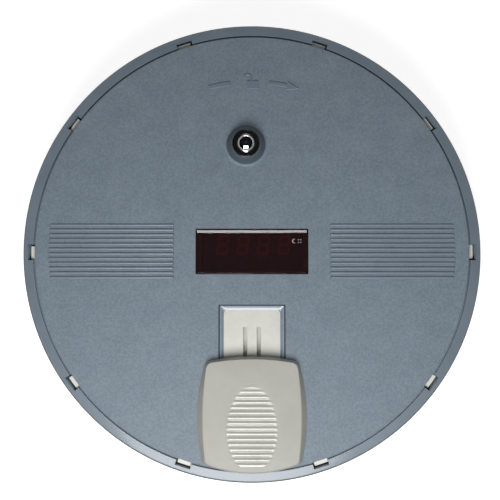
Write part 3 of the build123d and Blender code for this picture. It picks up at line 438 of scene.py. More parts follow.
@dataclass(frozen=True)
class Plastic:
    """A moulded plastic: faint cloudiness in its colour, and a fine grain from the mould.

    The grain of the real mould is near 0.1 mm. It is drawn as coarse as grain_size, so that it shows.
    """

    name: str
    colour: str
    cloud: str
    sheen: Sheen
    grain_size: float = 0.9
    grain_height: float = 0.02
    cloud_size: float = 9.0
    ior: float = 1.54
    coat: float = 0.0
    speckle: float = 0.0

    def material(self) -> Material:
        """Returns the finish as a material, made once."""
        made = bpy.data.materials.get(self.name)
        if made is not None:
            return made
        made = bpy.data.materials.new(self.name)
        made.use_nodes = True
        tree = made.node_tree
        shader = tree.nodes["Principled BSDF"]
        place = add_node(tree, "ShaderNodeTexCoord").outputs["Object"]
        cloudy = add_node(
            tree,
            "ShaderNodeTexNoise",
            inputs={"Vector": place, "Scale": per_metre(self.cloud_size), "Detail": 3.0, "Roughness": 0.6},
        )
        grain = add_node(
            tree,
            "ShaderNodeTexNoise",
            inputs={"Vector": place, "Scale": per_metre(self.grain_size), "Detail": 2.0, "Roughness": 0.55},
        )
        ramp = add_node(tree, "ShaderNodeValToRGB", inputs={"Fac": cloudy.outputs["Fac"]})
        ramp.color_ramp.elements[0].position = 0.3
        ramp.color_ramp.elements[0].color = linear(self.cloud)
        ramp.color_ramp.elements[1].position = 0.7
        ramp.color_ramp.elements[1].color = linear(self.colour)
        flecks = add_node(
            tree,
            "ShaderNodeMapRange",
            inputs={
                "Value": grain.outputs["Fac"],
                "From Min": 0.35,
                "From Max": 0.65,
                "To Min": 1.0 - self.speckle,
                "To Max": 1.0 + self.speckle,
            },
        )
        fleck_colour = add_node(
            tree,
            "ShaderNodeHueSaturation",
            inputs={"Value": flecks.outputs["Result"], "Color": ramp.outputs["Color"]},
        )
        bump = add_node(
            tree,
            "ShaderNodeBump",
            inputs={"Height": grain.outputs["Fac"], "Strength": 1.0, "Distance": self.grain_height * MM},
        )
        dulled = add_node(
            tree,
            "ShaderNodeMapRange",
            inputs={
                "Value": cloudy.outputs["Fac"],
                "To Min": self.sheen.value - 0.04,
                "To Max": self.sheen.value + 0.04,
            },
        )
        tree.links.new(fleck_colour.outputs["Color"], shader.inputs["Base Color"])
        tree.links.new(dulled.outputs["Result"], shader.inputs["Roughness"])
        tree.links.new(bump.outputs["Normal"], shader.inputs["Normal"])
        shader.inputs["IOR"].default_value = self.ior
        shader.inputs["Coat Weight"].default_value = self.coat
        shader.inputs["Coat Roughness"].default_value = 0.15
        return made


@dataclass(frozen=True)
class Metal:
    """A metal, plated or turned, with fine streaks round the piece or along it."""

    name: str
    colour: str
    sheen: Sheen
    streak_size: float = 0.5
    streak_height: float = 0.004

    def material(self) -> Material:
        """Returns the finish as a material, made once."""
        made = bpy.data.materials.get(self.name)
        if made is not None:
            return made
        made = bpy.data.materials.new(self.name)
        made.use_nodes = True
        tree = made.node_tree
        shader = tree.nodes["Principled BSDF"]
        place = add_node(tree, "ShaderNodeTexCoord").outputs["Object"]
        streaks = add_node(
            tree,
            "ShaderNodeTexNoise",
            inputs={"Vector": place, "Scale": per_metre(self.streak_size), "Detail": 4.0},
        )
        worn = add_node(
            tree,
            "ShaderNodeMapRange",
            inputs={
                "Value": streaks.outputs["Fac"],
                "To Min": max(0.02, self.sheen.value - 0.06),
                "To Max": self.sheen.value + 0.08,
            },
        )
        bump = add_node(
            tree,
            "ShaderNodeBump",
            inputs={"Height": streaks.outputs["Fac"], "Strength": 1.0, "Distance": self.streak_height * MM},
        )
        tree.links.new(worn.outputs["Result"], shader.inputs["Roughness"])
        tree.links.new(bump.outputs["Normal"], shader.inputs["Normal"])
        shader.inputs["Base Color"].default_value = linear(self.colour)
        shader.inputs["Metallic"].default_value = 1.0
        return made


@dataclass(frozen=True)
class TintedAcrylic:
    """Clear acrylic with a deep red tint, polished, with the finest handling scratches."""

    name: str
    colour: str
    scratch_size: float = 1.5

    def material(self) -> Material:
        """Returns the finish as a material, made once."""
        made = bpy.data.materials.get(self.name)
        if made is not None:
            return made
        made = bpy.data.materials.new(self.name)
        made.use_nodes = True
        tree = made.node_tree
        shader = tree.nodes["Principled BSDF"]
        place = add_node(tree, "ShaderNodeTexCoord").outputs["Object"]
        haze = add_node(
            tree,
            "ShaderNodeTexNoise",
            inputs={"Vector": place, "Scale": per_metre(self.scratch_size), "Detail": 6.0, "Distortion": 0.6},
        )
        dulled = add_node(
            tree,
            "ShaderNodeMapRange",
            inputs={"Value": haze.outputs["Fac"], "To Min": 0.04, "To Max": 0.14},
        )
        tree.links.new(dulled.outputs["Result"], shader.inputs["Roughness"])
        shader.inputs["Base Color"].default_value = linear(self.colour)
        shader.inputs["IOR"].default_value = 1.49
        shader.inputs["Transmission Weight"].default_value = 0.9
        return made


@dataclass(frozen=True)
class PaintedLightFace:
    """Painted light: a face that glows dimly though its display is unlit, so that it shows behind the filter."""

    name: str
    colour: str
    strength: float

    def material(self) -> Material:
        """Returns the finish as a material, made once."""
        made = bpy.data.materials.get(self.name)
        if made is not None:
            return made
        made = bpy.data.materials.new(self.name)
        made.use_nodes = True
        tree = made.node_tree
        shader = tree.nodes["Principled BSDF"]
        place = add_node(tree, "ShaderNodeTexCoord").outputs["Object"]
        patchy = add_node(
            tree, "ShaderNodeTexNoise", inputs={"Vector": place, "Scale": per_metre(3.0), "Detail": 1.0}
        )
        ramp = add_node(tree, "ShaderNodeValToRGB", inputs={"Fac": patchy.outputs["Fac"]})
        ramp.color_ramp.elements[0].color = [c * 0.7 for c in linear(self.colour)[:3]] + [1.0]
        ramp.color_ramp.elements[1].color = linear(self.colour)
        tree.links.new(ramp.outputs["Color"], shader.inputs["Base Color"])
        shader.inputs["Roughness"].default_value = 0.4
        shader.inputs["Emission Color"].default_value = linear(self.colour)
        shader.inputs["Emission Strength"].default_value = self.strength
        return made


@dataclass(frozen=True)
class CircuitBoard:
    """Glass-epoxy board under green solder mask, with paler copper tracks in a grid."""

    name: str
    mask: str
    track: str
    track_pitch: float = 2.54

    def material(self) -> Material:
        """Returns the finish as a material, made once."""
        made = bpy.data.materials.get(self.name)
        if made is not None:
            return made
        made = bpy.data.materials.new(self.name)
        made.use_nodes = True
        tree = made.node_tree
        shader = tree.nodes["Principled BSDF"]
        place = add_node(tree, "ShaderNodeTexCoord").outputs["Object"]
        tracks = add_node(
            tree,
            "ShaderNodeTexBrick",
            inputs={
                "Vector": place,
                "Color1": linear(self.mask),
                "Color2": linear(self.mask),
                "Mortar": linear(self.track),
                "Scale": per_metre(self.track_pitch) / 4,
                "Mortar Size": 0.03,
            },
        )
        tree.links.new(tracks.outputs["Color"], shader.inputs["Base Color"])
        shader.inputs["Roughness"].default_value = 0.3
        shader.inputs["IOR"].default_value = 1.55
        return made


# ABS in a spark-eroded mould: soft, fine-grained light with no clear reflection.
LID_ABS = Plastic("abs_blue_grey_grained", "#76848f", "#6e7c88", Sheen.TEXTURED, 1.3, 0.1, 14.0, speckle=0.12)
# The same ABS, where the mould was left smoother, its colour painted lighter as painted light on the pocket's lit
# shelf.
SHELF_LIT_ABS = Plastic("abs_blue_grey_lit_smooth", "#8290a0", "#7b8998", Sheen.GLOSSY, 0.8, 0.004, 12.0, coat=0.6)
# The steep side of the lock's boss, left smooth, painted darker than the lid as painted shade on a side that takes
# less light.
BOSS_SHADE_ABS = Plastic("abs_blue_grey_shaded_boss", "#49555e", "#434f57", Sheen.TEXTURED, 0.8, 0.012, 6.0)
# Painted shade: a darker copy of the lid's ABS for the crevices round the pocket, the seam and the steep rim.
CREVICE_SHADE_ABS = Plastic("abs_blue_grey_painted_shade", "#37424b", "#303a42", Sheen.TEXTURED, 0.8, 0.012, 6.0)
# The lid's outer ring, polished a little more than the disc, so that its near side takes the lamp.
RING_ABS = Plastic("abs_blue_grey_ring", "#74818d", "#6d7a86", Sheen.SATIN, 0.9, 0.008, 12.0, coat=0.5)
# ABS with a half-gloss face: broad soft highlights on the crown and the waves.
DOOR_ABS = Plastic("abs_warm_grey_half_gloss", "#afaea6", "#a6a59d", Sheen.TEXTURED, 0.8, 0.006, 18.0)
# The same ABS on the grip, where the mould was polished: the ridges glint along their tops.
GRIP_ABS = Plastic("abs_warm_grey_polished", "#b3b2aa", "#abaaa2", Sheen.GLOSSY, 0.8, 0.003, 18.0, coat=0.7)
# High-impact polystyrene, cream, lightly grained.
PLATE_PS = Plastic("polystyrene_cream_grained", "#dbdbd3", "#d2d2c9", Sheen.SATIN, 0.7, 0.02, 8.0, speckle=0.02)
BASE_ABS = Plastic("abs_cream_grained", "#e9e9e2", "#e1e1d9", Sheen.TEXTURED, 0.9, 0.03, 12.0)
# Polypropylene: waxy and slightly clouded.
TRAY_PP = Plastic("polypropylene_white", "#e6e6e0", "#dcdcd5", Sheen.SATIN, 1.2, 0.01, 6.0, ior=1.49)
# Acetal: dense white, slippery and even.
GEAR_POM = Plastic("acetal_natural_white", "#e2e0d6", "#d9d7cc", Sheen.GLOSSY, 0.6, 0.006, 5.0, ior=1.48)
# Nickelled steel inside the keyway, painted dark as painted shade in the deep key slot.
KEY_SLOT_SHADE = Metal("key_slot_steel_painted_shade", "#2c2c2e", Sheen.SATIN, 0.3, 0.004)
BLACK_PLASTIC = Plastic("glass_filled_nylon_black", "#1b1b1c", "#151516", Sheen.SATIN, 0.5, 0.02, 4.0)
LOCK_FACE = Plastic("black_lacquered_zinc", "#101011", "#0c0c0d", Sheen.GLOSSY, 0.5, 0.006, 3.0, coat=0.5)
BUTTON_RUBBER = Plastic("silicone_rubber_grey", "#5d646c", "#555c64", Sheen.MATT, 0.5, 0.01, 3.0, ior=1.43)
FOOT_RUBBER = Plastic("rubber_black", "#262626", "#1f1f1f", Sheen.MATT, 0.5, 0.03, 3.0, ior=1.52)
SLEEVE = Plastic("printed_battery_sleeve", "#3b4a63", "#323f55", Sheen.GLOSSY, 2.0, 0.004, 12.0)
PRINT = Plastic("screen_print_white", "#b9b2b0", "#a8a1a0", Sheen.MATT, 0.4, 0.0, 1.0)
# Bright chromium plate on zinc: it mirrors the studio.
CHROME = Metal("chromium_plate", "#d6d8da", Sheen.POLISHED, 0.6, 0.002)
# Chromium on the lock's rim, painted dark as a painted reflection of a dark studio; it still glints in the lamp.
DARKENED_CHROME = Metal("chromium_plate_painted_dark", "#55565a", Sheen.POLISHED, 0.6, 0.002)
# Zinc-plated steel: paler and duller than chrome, faintly streaked.
ZINC = Metal("zinc_plated_steel", "#b9bbbd", Sheen.GLOSSY, 0.4, 0.006)
STEEL = Metal("ground_steel", "#a8a9ab", Sheen.GLOSSY, 0.3, 0.004)
LENS = TintedAcrylic("tinted_acrylic_red", "#604446")
# Painted light: the unlit diodes glow a little, so that their bars show through the lens.
PAINTED_GLOW_DIODES = PaintedLightFace("led_segment_painted_glow", "#7a2a2e", 0.9)
BOARD = CircuitBoard("glass_epoxy_board", "#1f5a38", "#3f7a52")


def dress(piece: Object, *finishes: Plastic | Metal | TintedAcrylic | PaintedLightFace | CircuitBoard) -> Object:
    """Gives a piece its finish, or several in the order of its material slots."""
    piece.data.materials.clear()
    for finish in finishes:
        piece.data.materials.append(finish.material())
    return piece


def place_on(piece: Object, body: str, slot: str, *nodes: str) -> Object:
    """Makes a piece ride on a body and stand for CAD nodes.

    Args:
        piece: The finished piece.
        body: The CAD body that it moves with.
        slot: The record's material slot; not used.
        nodes: CAD nodes that it replaces.

    Returns:
        The piece.
    """
    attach(piece, body)
    if nodes:
        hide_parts(*nodes)
    log.info("%s: %d faces", piece.name, len(piece.data.polygons))
    return piece


# ---- Shared levels ------------------------------------------------------------------------------


@dataclass(frozen=True)
class Levels:
    """Heights and radii that the sub-assemblies share."""

    overall_r: float
    lid_top: float
    ring_top: float
    lid_under: float
    skirt_foot: float
    plate_top: float
    plate_foot: float
    ledge: float
    spigot_top: float
    floor: float
    underside: float

    @classmethod
    def from_frame(cls, boss: float = 7.0, disc_step: float = 1.0, disc_wall: float = 2.5) -> "Levels":
        """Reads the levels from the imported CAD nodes.

        Args:
            boss: Height of the lock's boss over the lid.
            disc_step: How far the disc stands over the outer ring.
            disc_wall: Thickness of the disc.

        Returns:
            The levels, in millimetres.
        """
        lid_top = top_of("lid_shell") - boss
        return cls(
            overall_r=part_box("lid_shell")[1].x / MM,
            lid_top=lid_top,
            ring_top=lid_top - disc_step,
            lid_under=lid_top - disc_wall,
            skirt_foot=foot_of("lid_shell"),
            plate_top=top_of("track_plate"),
            plate_foot=foot_of("track_plate"),
            ledge=foot_of("lid_shell") - 0.3,
            spigot_top=top_of("base_shell"),
            floor=foot_of("drive_motor"),
            underside=foot_of("base_shell"),
        )


# ---- Lid ----------------------------------------------------------------------------------------


@dataclass
class LidCover:
    """The round lid: disc, outer ring with ten windows, ribs, lock boss, pocket and open mark."""

    levels: Levels
    edge_round: float = 1.8
    seam_r: float = 125.9
    seam_width: float = 1.0
    seam_depth: float = 1.2
    ring_fall: float = 0.4
    skirt_wall: float = 2.75
    ring_wall: float = 2.0
    window_count: int = 10
    window_inner_r: float = 126.3
    window_outer_r: float = 129.6
    window_length: float = 9.1
    lug_foot: float = 45.5
    lug_top: float = 48.2
    rib_count: int = 12
    rib_pitch: float = 2.757
    rib_width: float = 1.7
    rib_height: float = 0.95
    rib_start: float = 45.4
    rib_circle_r: float = 117.9
    rib_middle_y: float = 0.5
    opening: tuple[float, float] = (65.5, 26.6)
    opening_y: float = 0.5
    pocket_half: float = 19.4
    pocket_inner_y: float = -30.3
    pocket_end_r: float = 122.6
    pocket_corner: float = 2.5
    pocket_run: float = 2.3
    pocket_gap: float = 0.7
    pocket_shelf: float = 0.95
    plate_half: float = 27.8
    plate_end_r: float = 123.4
    plate_inner_y: float = -26.1
    lock_at: Point = (-3.5, 62.5)
    boss_r: float = 11.0
    boss_top_r: float = 8.8
    boss_flare: float = 2.2
    barrel_r: float = 6.25
    mark_r: float = 99.4
    mark_height: float = 0.8

    def pocket(self, inset: float) -> list[Point]:
        """Returns the pocket's outline, drawn in by inset: nearly square outside, rounded inside."""
        corner = 0.5 + (self.pocket_corner - 0.5) * min(1.0, inset / (self.pocket_gap + self.pocket_run))
        return self.tongue(self.pocket_half - inset, self.pocket_end_r - inset, self.pocket_inner_y - inset, corner)

    def plate_line(self) -> list[Point]:
        """Returns the outline of the track plate and of the land that it is screwed to."""
        return self.tongue(self.plate_half, self.plate_end_r, self.plate_inner_y, self.pocket_corner)

    @staticmethod
    def tongue(half: float, end_r: float, inner_y: float, corner: float) -> list[Point]:
        """Returns an outline with straight sides and a bowed outer end.

        Args:
            half: Half of its width.
            end_r: Radius of the outer end, round the lid's middle.
            inner_y: Where the inner end lies.
            corner: Radius of the inner end's corners.

        Returns:
            The outline, counter-clockwise.
        """
        end_y = -math.sqrt(end_r**2 - half**2)
        swing = math.degrees(math.asin(half / end_r))
        bow = arc(end_r, -90 - swing, -90 + swing, 10)
        return rounded(
            [
                (-half, end_y, 1.0),
                *[(x, y, 0.0) for x, y in bow[1:-1]],
                (half, end_y, 1.0),
                (half, inner_y, corner),
                (-half, inner_y, corner),
            ]
        )

    def shell(self) -> Object:
        """Returns the turned lid, with its seam and rounded edge."""
        at = self.levels
        r, edge, lip = at.overall_r, self.edge_round, 0.45
        ring_under = at.ring_top - self.ring_wall
        ring_edge = at.ring_top - self.ring_fall
        seam_out = self.seam_r + self.seam_width
        profile = [
            (r - self.skirt_wall, at.skirt_foot),
            (r - 0.4, at.skirt_foot),
            (r, at.skirt_foot + 0.4),
            (r, ring_edge - edge - 1.0),
            (r - 0.12, ring_edge - edge - 0.2),
            (r - 0.85, ring_edge - 0.4),
            (r - 1.1, ring_edge - 0.12),
            (r - 1.45, ring_edge),
            (seam_out + 0.5, at.ring_top),
            (seam_out + 0.12, at.ring_top - 0.12),
            (seam_out, at.ring_top - 0.3),
            (seam_out, at.ring_top - self.seam_depth),
            (self.seam_r, at.ring_top - self.seam_depth),
            *arc(lip, 0, 90, 4, (self.seam_r - lip, at.lid_top - lip)),
            (self.seam_r - 1.2, at.lid_top),
            (0, at.lid_top),
            (0, at.lid_under),
            (124.0, at.lid_under),
            (126.2, ring_under),
            (r - self.skirt_wall, ring_under),
        ]
        return turned("lid_cover", profile, 240)

    def ribs(self) -> list[Object]:
        """Returns the ribs of both sides, each ending on one circle."""
        half = self.rib_width / 2
        section = [(half * math.cos(a), self.rib_height * math.sin(a)) for a in (k * math.pi / 8 for k in range(9))]
        made = []
        for k in range(self.rib_count):
            y = self.rib_middle_y + self.rib_pitch * (k - (self.rib_count - 1) / 2)
            end = math.sqrt(self.rib_circle_r**2 - y**2)
            for side in (-1, 1):
                stations = ((self.rib_start, 0.25), (self.rib_start + 0.35, 1.0), (end - 0.35, 1.0), (end, 0.25))
                rib = self.rib(f"rib_{k}_{side}", section, [(side * x, share) for x, share in stations], y)
                made.append(rib)
        return made

    def rib(self, name: str, section: list[Point], stations: list[tuple[float, float]], y: float) -> Object:
        """Extrudes one rib from station to station.

        Args:
            name: Of the new piece.
            section: Half round, across the rib and up.
            stations: Each x, and the height's share there.
            y: The rib's middle line.

        Returns:
            The closed rib, sunk a little into the lid.
        """
        sunk = [(section[0][0], -0.2), *section, (section[-1][0], -0.2)]
        x, share = stations[0]
        piece = trace(name, [metres(x, y + a, self.levels.lid_top + b * (share if b > 0 else 1)) for a, b in sunk])
        with editing(piece):
            bpy.ops.mesh.select_all(action="SELECT")
            bpy.ops.mesh.edge_face_add()
            for (here, before), (ahead, after) in zip(stations, stations[1:]):
                bpy.ops.mesh.extrude_region_move(TRANSFORM_OT_translate={"value": metres(ahead - here, 0)})
                mesh = bmesh.from_edit_mesh(piece.data)
                for vertex in mesh.verts:
                    rise = vertex.co.z / MM - self.levels.lid_top
                    if vertex.select and rise > 0:
                        vertex.co.z = (self.levels.lid_top + rise * after / before) * MM
                bmesh.update_edit_mesh(piece.data)
        return tidy(piece)

    def window(self, turn: float) -> Object:
        """Returns the cutter of one window, whose outer wall leans out so that it catches the light."""
        foot, top = self.levels.ring_top - self.ring_wall - 0.4, self.levels.ring_top + 1
        low = sector(self.window_inner_r, self.window_outer_r, turn, self.window_length)
        high = sector(self.window_inner_r, self.window_outer_r + 0.7, turn, self.window_length)
        return lofted(f"window_{turn:.0f}", [(low, foot), (low, foot + 0.6), (high, top - 1), (high, top)])

    def boss(self) -> Object:
        """Returns the lock's boss, with a flared foot."""
        z = self.levels.lid_top
        flare = [
            (self.boss_r + self.boss_flare * (1 - math.sin(a)), z + self.boss_flare * (1 - math.cos(a)))
            for a in (k * math.pi / 12 for k in range(6))
        ]
        top = top_of("lid_shell")
        edge = arc(0.5, 15, 90, 3, (self.boss_top_r - 0.5, top - 0.5))
        profile = [(0, z - 1), (self.boss_r + self.boss_flare, z - 1), *flare, *edge, (0, top)]
        return turned("boss", profile, 96, self.lock_at)

    def open_mark(self) -> list[Object]:
        """Returns the raised mark that shows which way to turn: a bar, an open padlock and an arrow."""
        foot, top = self.levels.lid_top - 0.3, self.levels.lid_top + self.mark_height
        bar = sector(self.mark_r - 1.4, self.mark_r + 1.4, 101.0, 13.2, 8)
        shaft = arc(self.mark_r + 1.3, 77.8, 84.4, 5) + arc(self.mark_r - 1.3, 84.4, 77.8, 5)
        head = [on_circle(self.mark_r + d, a) for d, a in ((3.0, 78.4), (-3.0, 78.4), (0.0, 73.6))]
        body = box_outline(7.0, 5.2, 0.8, (0.4, self.mark_r - 1.6))
        shackle = [
            *arc(2.6, 0, 180, 8, (-2.6, self.mark_r + 2.6)),
            *arc(1.5, 180, 0, 8, (-2.6, self.mark_r + 2.6)),
        ]
        leg = box_outline(1.1, 2.6, 0.0, (-0.55, self.mark_r + 1.6))
        outlines = {"bar": bar, "shaft": shaft, "head": head, "padlock": body, "shackle": shackle, "leg": leg}
        return [raised(f"mark_{name}", outline, foot, top) for name, outline in outlines.items()]

    def funnel(self) -> Object:
        """Returns the cutter of the pocket: a drop to a narrow groove, then a shelf that dips to the plate."""
        foot, top, gap = self.levels.plate_top, self.levels.lid_top, self.pocket_gap
        runs, dip = 6, 0.08
        sections = [(self.pocket(gap + self.pocket_run), foot - 0.5)]
        for k in range(runs + 1):
            share = k / runs
            height = foot + dip + (self.pocket_shelf - dip) * share**1.45
            sections.append((self.pocket(gap + self.pocket_run * (1 - share)), height))
        sections.append((self.pocket(gap * 0.9), foot + 0.35))
        sections.append((self.pocket(0), foot + 0.35))
        sections.append((self.pocket(0), top + 1))
        return lofted("funnel", sections)

    def inner_lugs(self) -> list[Object]:
        """Returns the lugs on the inside of the skirt that lock under those of the base."""
        inner, outer = 126.5, self.levels.overall_r - self.skirt_wall + 0.6
        turns = [k * 360 / self.window_count for k in range(self.window_count)]
        return [
            raised(f"lug_{turn:.0f}", sector(inner, outer, turn, 8.8), self.lug_foot, self.lug_top) for turn in turns
        ]

    def build(self) -> Object:
        """Returns the finished lid."""
        at = self.levels
        lid = self.shell()
        land = raised("land", self.plate_line(), at.plate_top, at.lid_under + 0.5)
        marks = self.open_mark()
        for mark in marks:
            soften(mark, 0.45, 1)
        weld(lid, land, self.boss(), gather(self.ribs()), *marks, gather(self.inner_lugs()))
        funnel = self.funnel()
        opening = raised(
            "opening", box_outline(*self.opening, 0.8, (0, self.opening_y)), at.lid_under - 1, at.lid_top + 1
        )
        low, high = at.lid_under - 1, top_of("lid_shell") + 1
        barrel = turned("barrel_hole", [(0, low), (self.barrel_r, low), (self.barrel_r, high), (0, high)], 64, self.lock_at)
        windows = gather(
            [
                self.window(k * 360 / self.window_count)
                for k in range(self.window_count)
            ]
        )
        cut(lid, funnel, opening, barrel, windows)
        dress(smooth(lid), LID_ABS, SHELF_LIT_ABS, BOSS_SHADE_ABS, RING_ABS, CREVICE_SHADE_ABS)
        self.paint(lid)
        return place_on(lid, "lid", "blue_grey_plastic", "lid_shell")

    def paint(self, lid: Object) -> None:
        """Gives each region of the lid its finish, in the order of its material slots: painted light on the pocket's
        shelf, painted shade on the boss, the crevices and the steep rim.
        """
        at = self.levels
        lock, r = Vector(self.lock_at), at.overall_r
        half, inner_y, gap = self.pocket_half + 0.01, self.pocket_inner_y + 0.01, self.pocket_gap
        rib_reach = self.rib_pitch * self.rib_count / 2

        def in_pocket(p: Vector) -> bool:
            return abs(p.x) < half and p.y < inner_y and p.xy.length < self.pocket_end_r and p.z < at.lid_top - 0.3

        def in_groove(p: Vector) -> bool:
            return in_pocket(p) and not (abs(p.x) < half - gap and p.y < inner_y - gap)

        def is_raised(p: Vector) -> bool:
            on_ribs = self.rib_start < abs(p.x) and abs(p.y - self.rib_middle_y) < rib_reach
            on_mark = p.y > 80 and abs(p.xy.length - self.mark_r) < 6
            return p.z > at.lid_top + 0.05 and (on_ribs or on_mark)

        regions: list[tuple[int, Callable[[Vector, Vector], bool]]] = [
            # Painted light: the pocket's shelf gets the lighter copy.
            (1, lambda p, n: in_pocket(p) and n.z > 0.1),
            (3, lambda p, n: is_raised(p)),
            # Painted shade: the boss's flank and flared foot get the darker copy.
            (2, lambda p, n: (p.xy - lock).length < self.boss_r + 0.3 and p.z > at.lid_top + 0.15),
            (3, lambda p, n: p.xy.length > self.seam_r + self.seam_width and n.z > 0.2 and p.z > at.lid_under),
            # Painted shade: the pocket's groove, the steep outer rim and the seam's walls get the darker copy.
            (4, lambda p, n: in_groove(p) or (r - 1.2 < p.xy.length < r + 0.1 and 0.05 < n.z < 0.8)),
            (4, lambda p, n: abs(p.xy.length - self.seam_r - self.seam_width / 2) < 0.51 and n.z < 0.95 and p.z > 50),
        ]
        with editing(lid):
            for slot, wanted in regions:
                select_faces(lid, wanted)
                lid.active_material_index = slot
                bpy.ops.object.material_slot_assign()


# ---- Display ------------------------------------------------------------------------------------


class Segment(Enum):
    """The seven bars of a digit: place in half widths and half heights, and whether it lies flat."""

    TOP = (0, 1, True)
    MIDDLE = (0, 0, True)
    FOOT = (0, -1, True)
    UPPER_LEFT = (-1, 0.5, False)
    UPPER_RIGHT = (1, 0.5, False)
    LOWER_LEFT = (-1, -0.5, False)
    LOWER_RIGHT = (1, -0.5, False)


@dataclass
class Display:
    """The red window in the lid, and the four-digit module behind it."""

    levels: Levels
    opening: tuple[float, float] = (65.5, 26.6)
    middle_y: float = 0.5
    flange: float = 3.0
    thickness: float = 2.0
    gap: float = 0.9
    strip: float = 1.9
    strip_slopes: Point = (8.0, 24.0)
    near_round: float = 0.9
    digit_xs: tuple[float, ...] = (-17.2, -5.2, 6.7, 19.0)
    digit_y: float = 4.7
    digit_half: Point = (3.5, 5.7)
    bar_width: float = 1.3
    slant: float = 0.12

    def window(self) -> Object:
        """Returns the window: a flange under the lid, and a panel turned up along its far edge."""
        width, depth = self.opening
        foot = self.levels.lid_under - self.thickness
        face = self.levels.lid_under + 0.45
        flange = raised(
            "lens",
            box_outline(width + 2 * self.flange, depth + 2 * self.flange, 2.0, (0, self.middle_y)),
            foot,
            self.levels.lid_under - 0.02,
        )
        near, far = self.middle_y - depth / 2 + 0.15, self.middle_y + depth / 2 - self.gap
        bow = [
            (near + self.near_round * (1 - math.cos(a)), face - 0.45 * (1 - math.sin(a)))
            for a in (k * math.pi / 12 for k in range(7))
        ]
        turned_up, height, runs = [], 0.0, 8
        for k in range(runs + 1):
            turned_up.append((far - self.strip * (1 - k / runs), face + height))
            height += self.strip / runs * math.tan(math.radians(self.strip_slopes[0] + (self.strip_slopes[1] - self.strip_slopes[0]) * k / runs))
        section = [(near, foot + 0.5), *bow, (far - self.strip - 0.3, face), *turned_up, (far, foot + 0.5)]
        half = width / 2 - self.gap
        panel = trace("panel", [metres(-half, y, z) for y, z in section])
        with editing(panel):
            bpy.ops.mesh.select_all(action="SELECT")
            bpy.ops.mesh.edge_face_add()
            bpy.ops.mesh.extrude_region_move(TRANSFORM_OT_translate={"value": metres(2 * half, 0)})
        weld(flange, tidy(panel))
        dress(smooth(flange, 30), LENS)
        return place_on(flange, "lid", "red_lens", "display_window")

    def digit(self, name: str, x: float) -> Object:
        """Returns one digit's seven bars, raised a hair over the module.

        Args:
            name: Of the new piece.
            x: Middle of the digit.

        Returns:
            The bars as one piece.
        """
        half_x, half_y = self.digit_half
        face = top_of("led_display")
        bars = []
        for bar in Segment:
            across, up, flat = bar.value
            length = (2 * half_x if flat else half_y) - self.bar_width - 0.3
            width, depth = (length, self.bar_width) if flat else (self.bar_width, length)
            middle_y = self.digit_y + up * (half_y - self.bar_width / 2 * abs(up))
            middle_x = x + across * (half_x - self.bar_width / 2) + self.slant * (middle_y - self.digit_y)
            outline = box_outline(width, depth, self.bar_width * 0.35, (middle_x, middle_y))
            leant = [(a + self.slant * (b - middle_y), b) for a, b in outline]
            bars.append(raised(f"{name}_{bar.name}", leant, face, face + 0.06))
        digit = gather(bars)
        digit.name = name
        return digit

    def marks(self) -> Object:
        """Returns the three small dots left of the digits."""
        face = top_of("led_display")
        dots = [(-27.0, 8.4, 0.8), (-27.0, 4.6, 0.8), (-27.0, 0.8, 0.8)]
        return gather([raised(f"dot_{k}", arc(r, 0, 330, 11, (x, y)), face, face + 0.06) for k, (x, y, r) in enumerate(dots)])

    def print_marks(self) -> Object:
        """Returns a small printed crescent with two dots, at the right of the window."""
        face = self.levels.lid_under + 0.45
        crescent = arc(1.3, 60, 300, 10, (24.6, 6.6)) + arc(1.12, 290, 70, 8, (25.0, 6.6))
        marks = [crescent, *[arc(0.3, 0, 330, 11, at) for at in ((27.0, 7.4), (27.0, 5.8), (28.4, 7.4), (28.4, 5.8))]]
        return gather([raised(f"print_{k}", outline, face, face + 0.03) for k, outline in enumerate(marks)])

    def build(self) -> list[Object]:
        """Returns the window, the digits and the marks."""
        digits = gather([self.digit(f"digit_{k}", x) for k, x in enumerate(self.digit_xs)])
        digits.name = "led_digits"
        dots = self.marks()
        dots.name = "led_dots"
        for piece in (digits, dots):
            # Painted light: the unlit bars and dots glow dimly.
            dress(piece, PAINTED_GLOW_DIODES)
            place_on(piece, "base", "black_plastic")
        prints = self.print_marks()
        prints.name = "window_print"
        dress(prints, PRINT)
        place_on(prints, "lid", "red_lens")
        return [self.window(), digits, dots, prints]


# ---- Track plate and door -----------------------------------------------------------------------


@dataclass
class TrackPlate:
    """The cream plate under the pocket, with two guide slots and the pill opening."""

    levels: Levels
    outline: list[Point]
    slot_x: float = 3.95
    slot_width: float = 2.4
    slot_ends: Point = (-43.3, -77.9)
    opening_radii: Point = (101.0, 120.5)
    opening_sweep: float = 10.6

    def build(self) -> Object:
        """Returns the finished plate."""
        at = self.levels
        plate = raised("track_plate_moulded", self.outline, at.plate_foot, at.plate_top - 0.02)
        near, far = self.slot_ends
        low, high = at.plate_foot - 1, at.plate_top + 1
        slots = [
            raised(
                f"slot_{side}",
                box_outline(self.slot_width, near - far, 0.5, (side * self.slot_x, (near + far) / 2)),
                low,
                high,
            )
            for side in (-1, 1)
        ]
        inner, outer = self.opening_radii
        length = math.radians(self.opening_sweep) * (inner + outer) / 2
        cut(plate, *slots, raised("pill_way", sector(inner, outer, -90, length, 8), low, high))
        dress(smooth(soften(plate, 0.3, 3)), PLATE_PS)
        return place_on(plate, "lid", "cream_plastic", "track_plate")


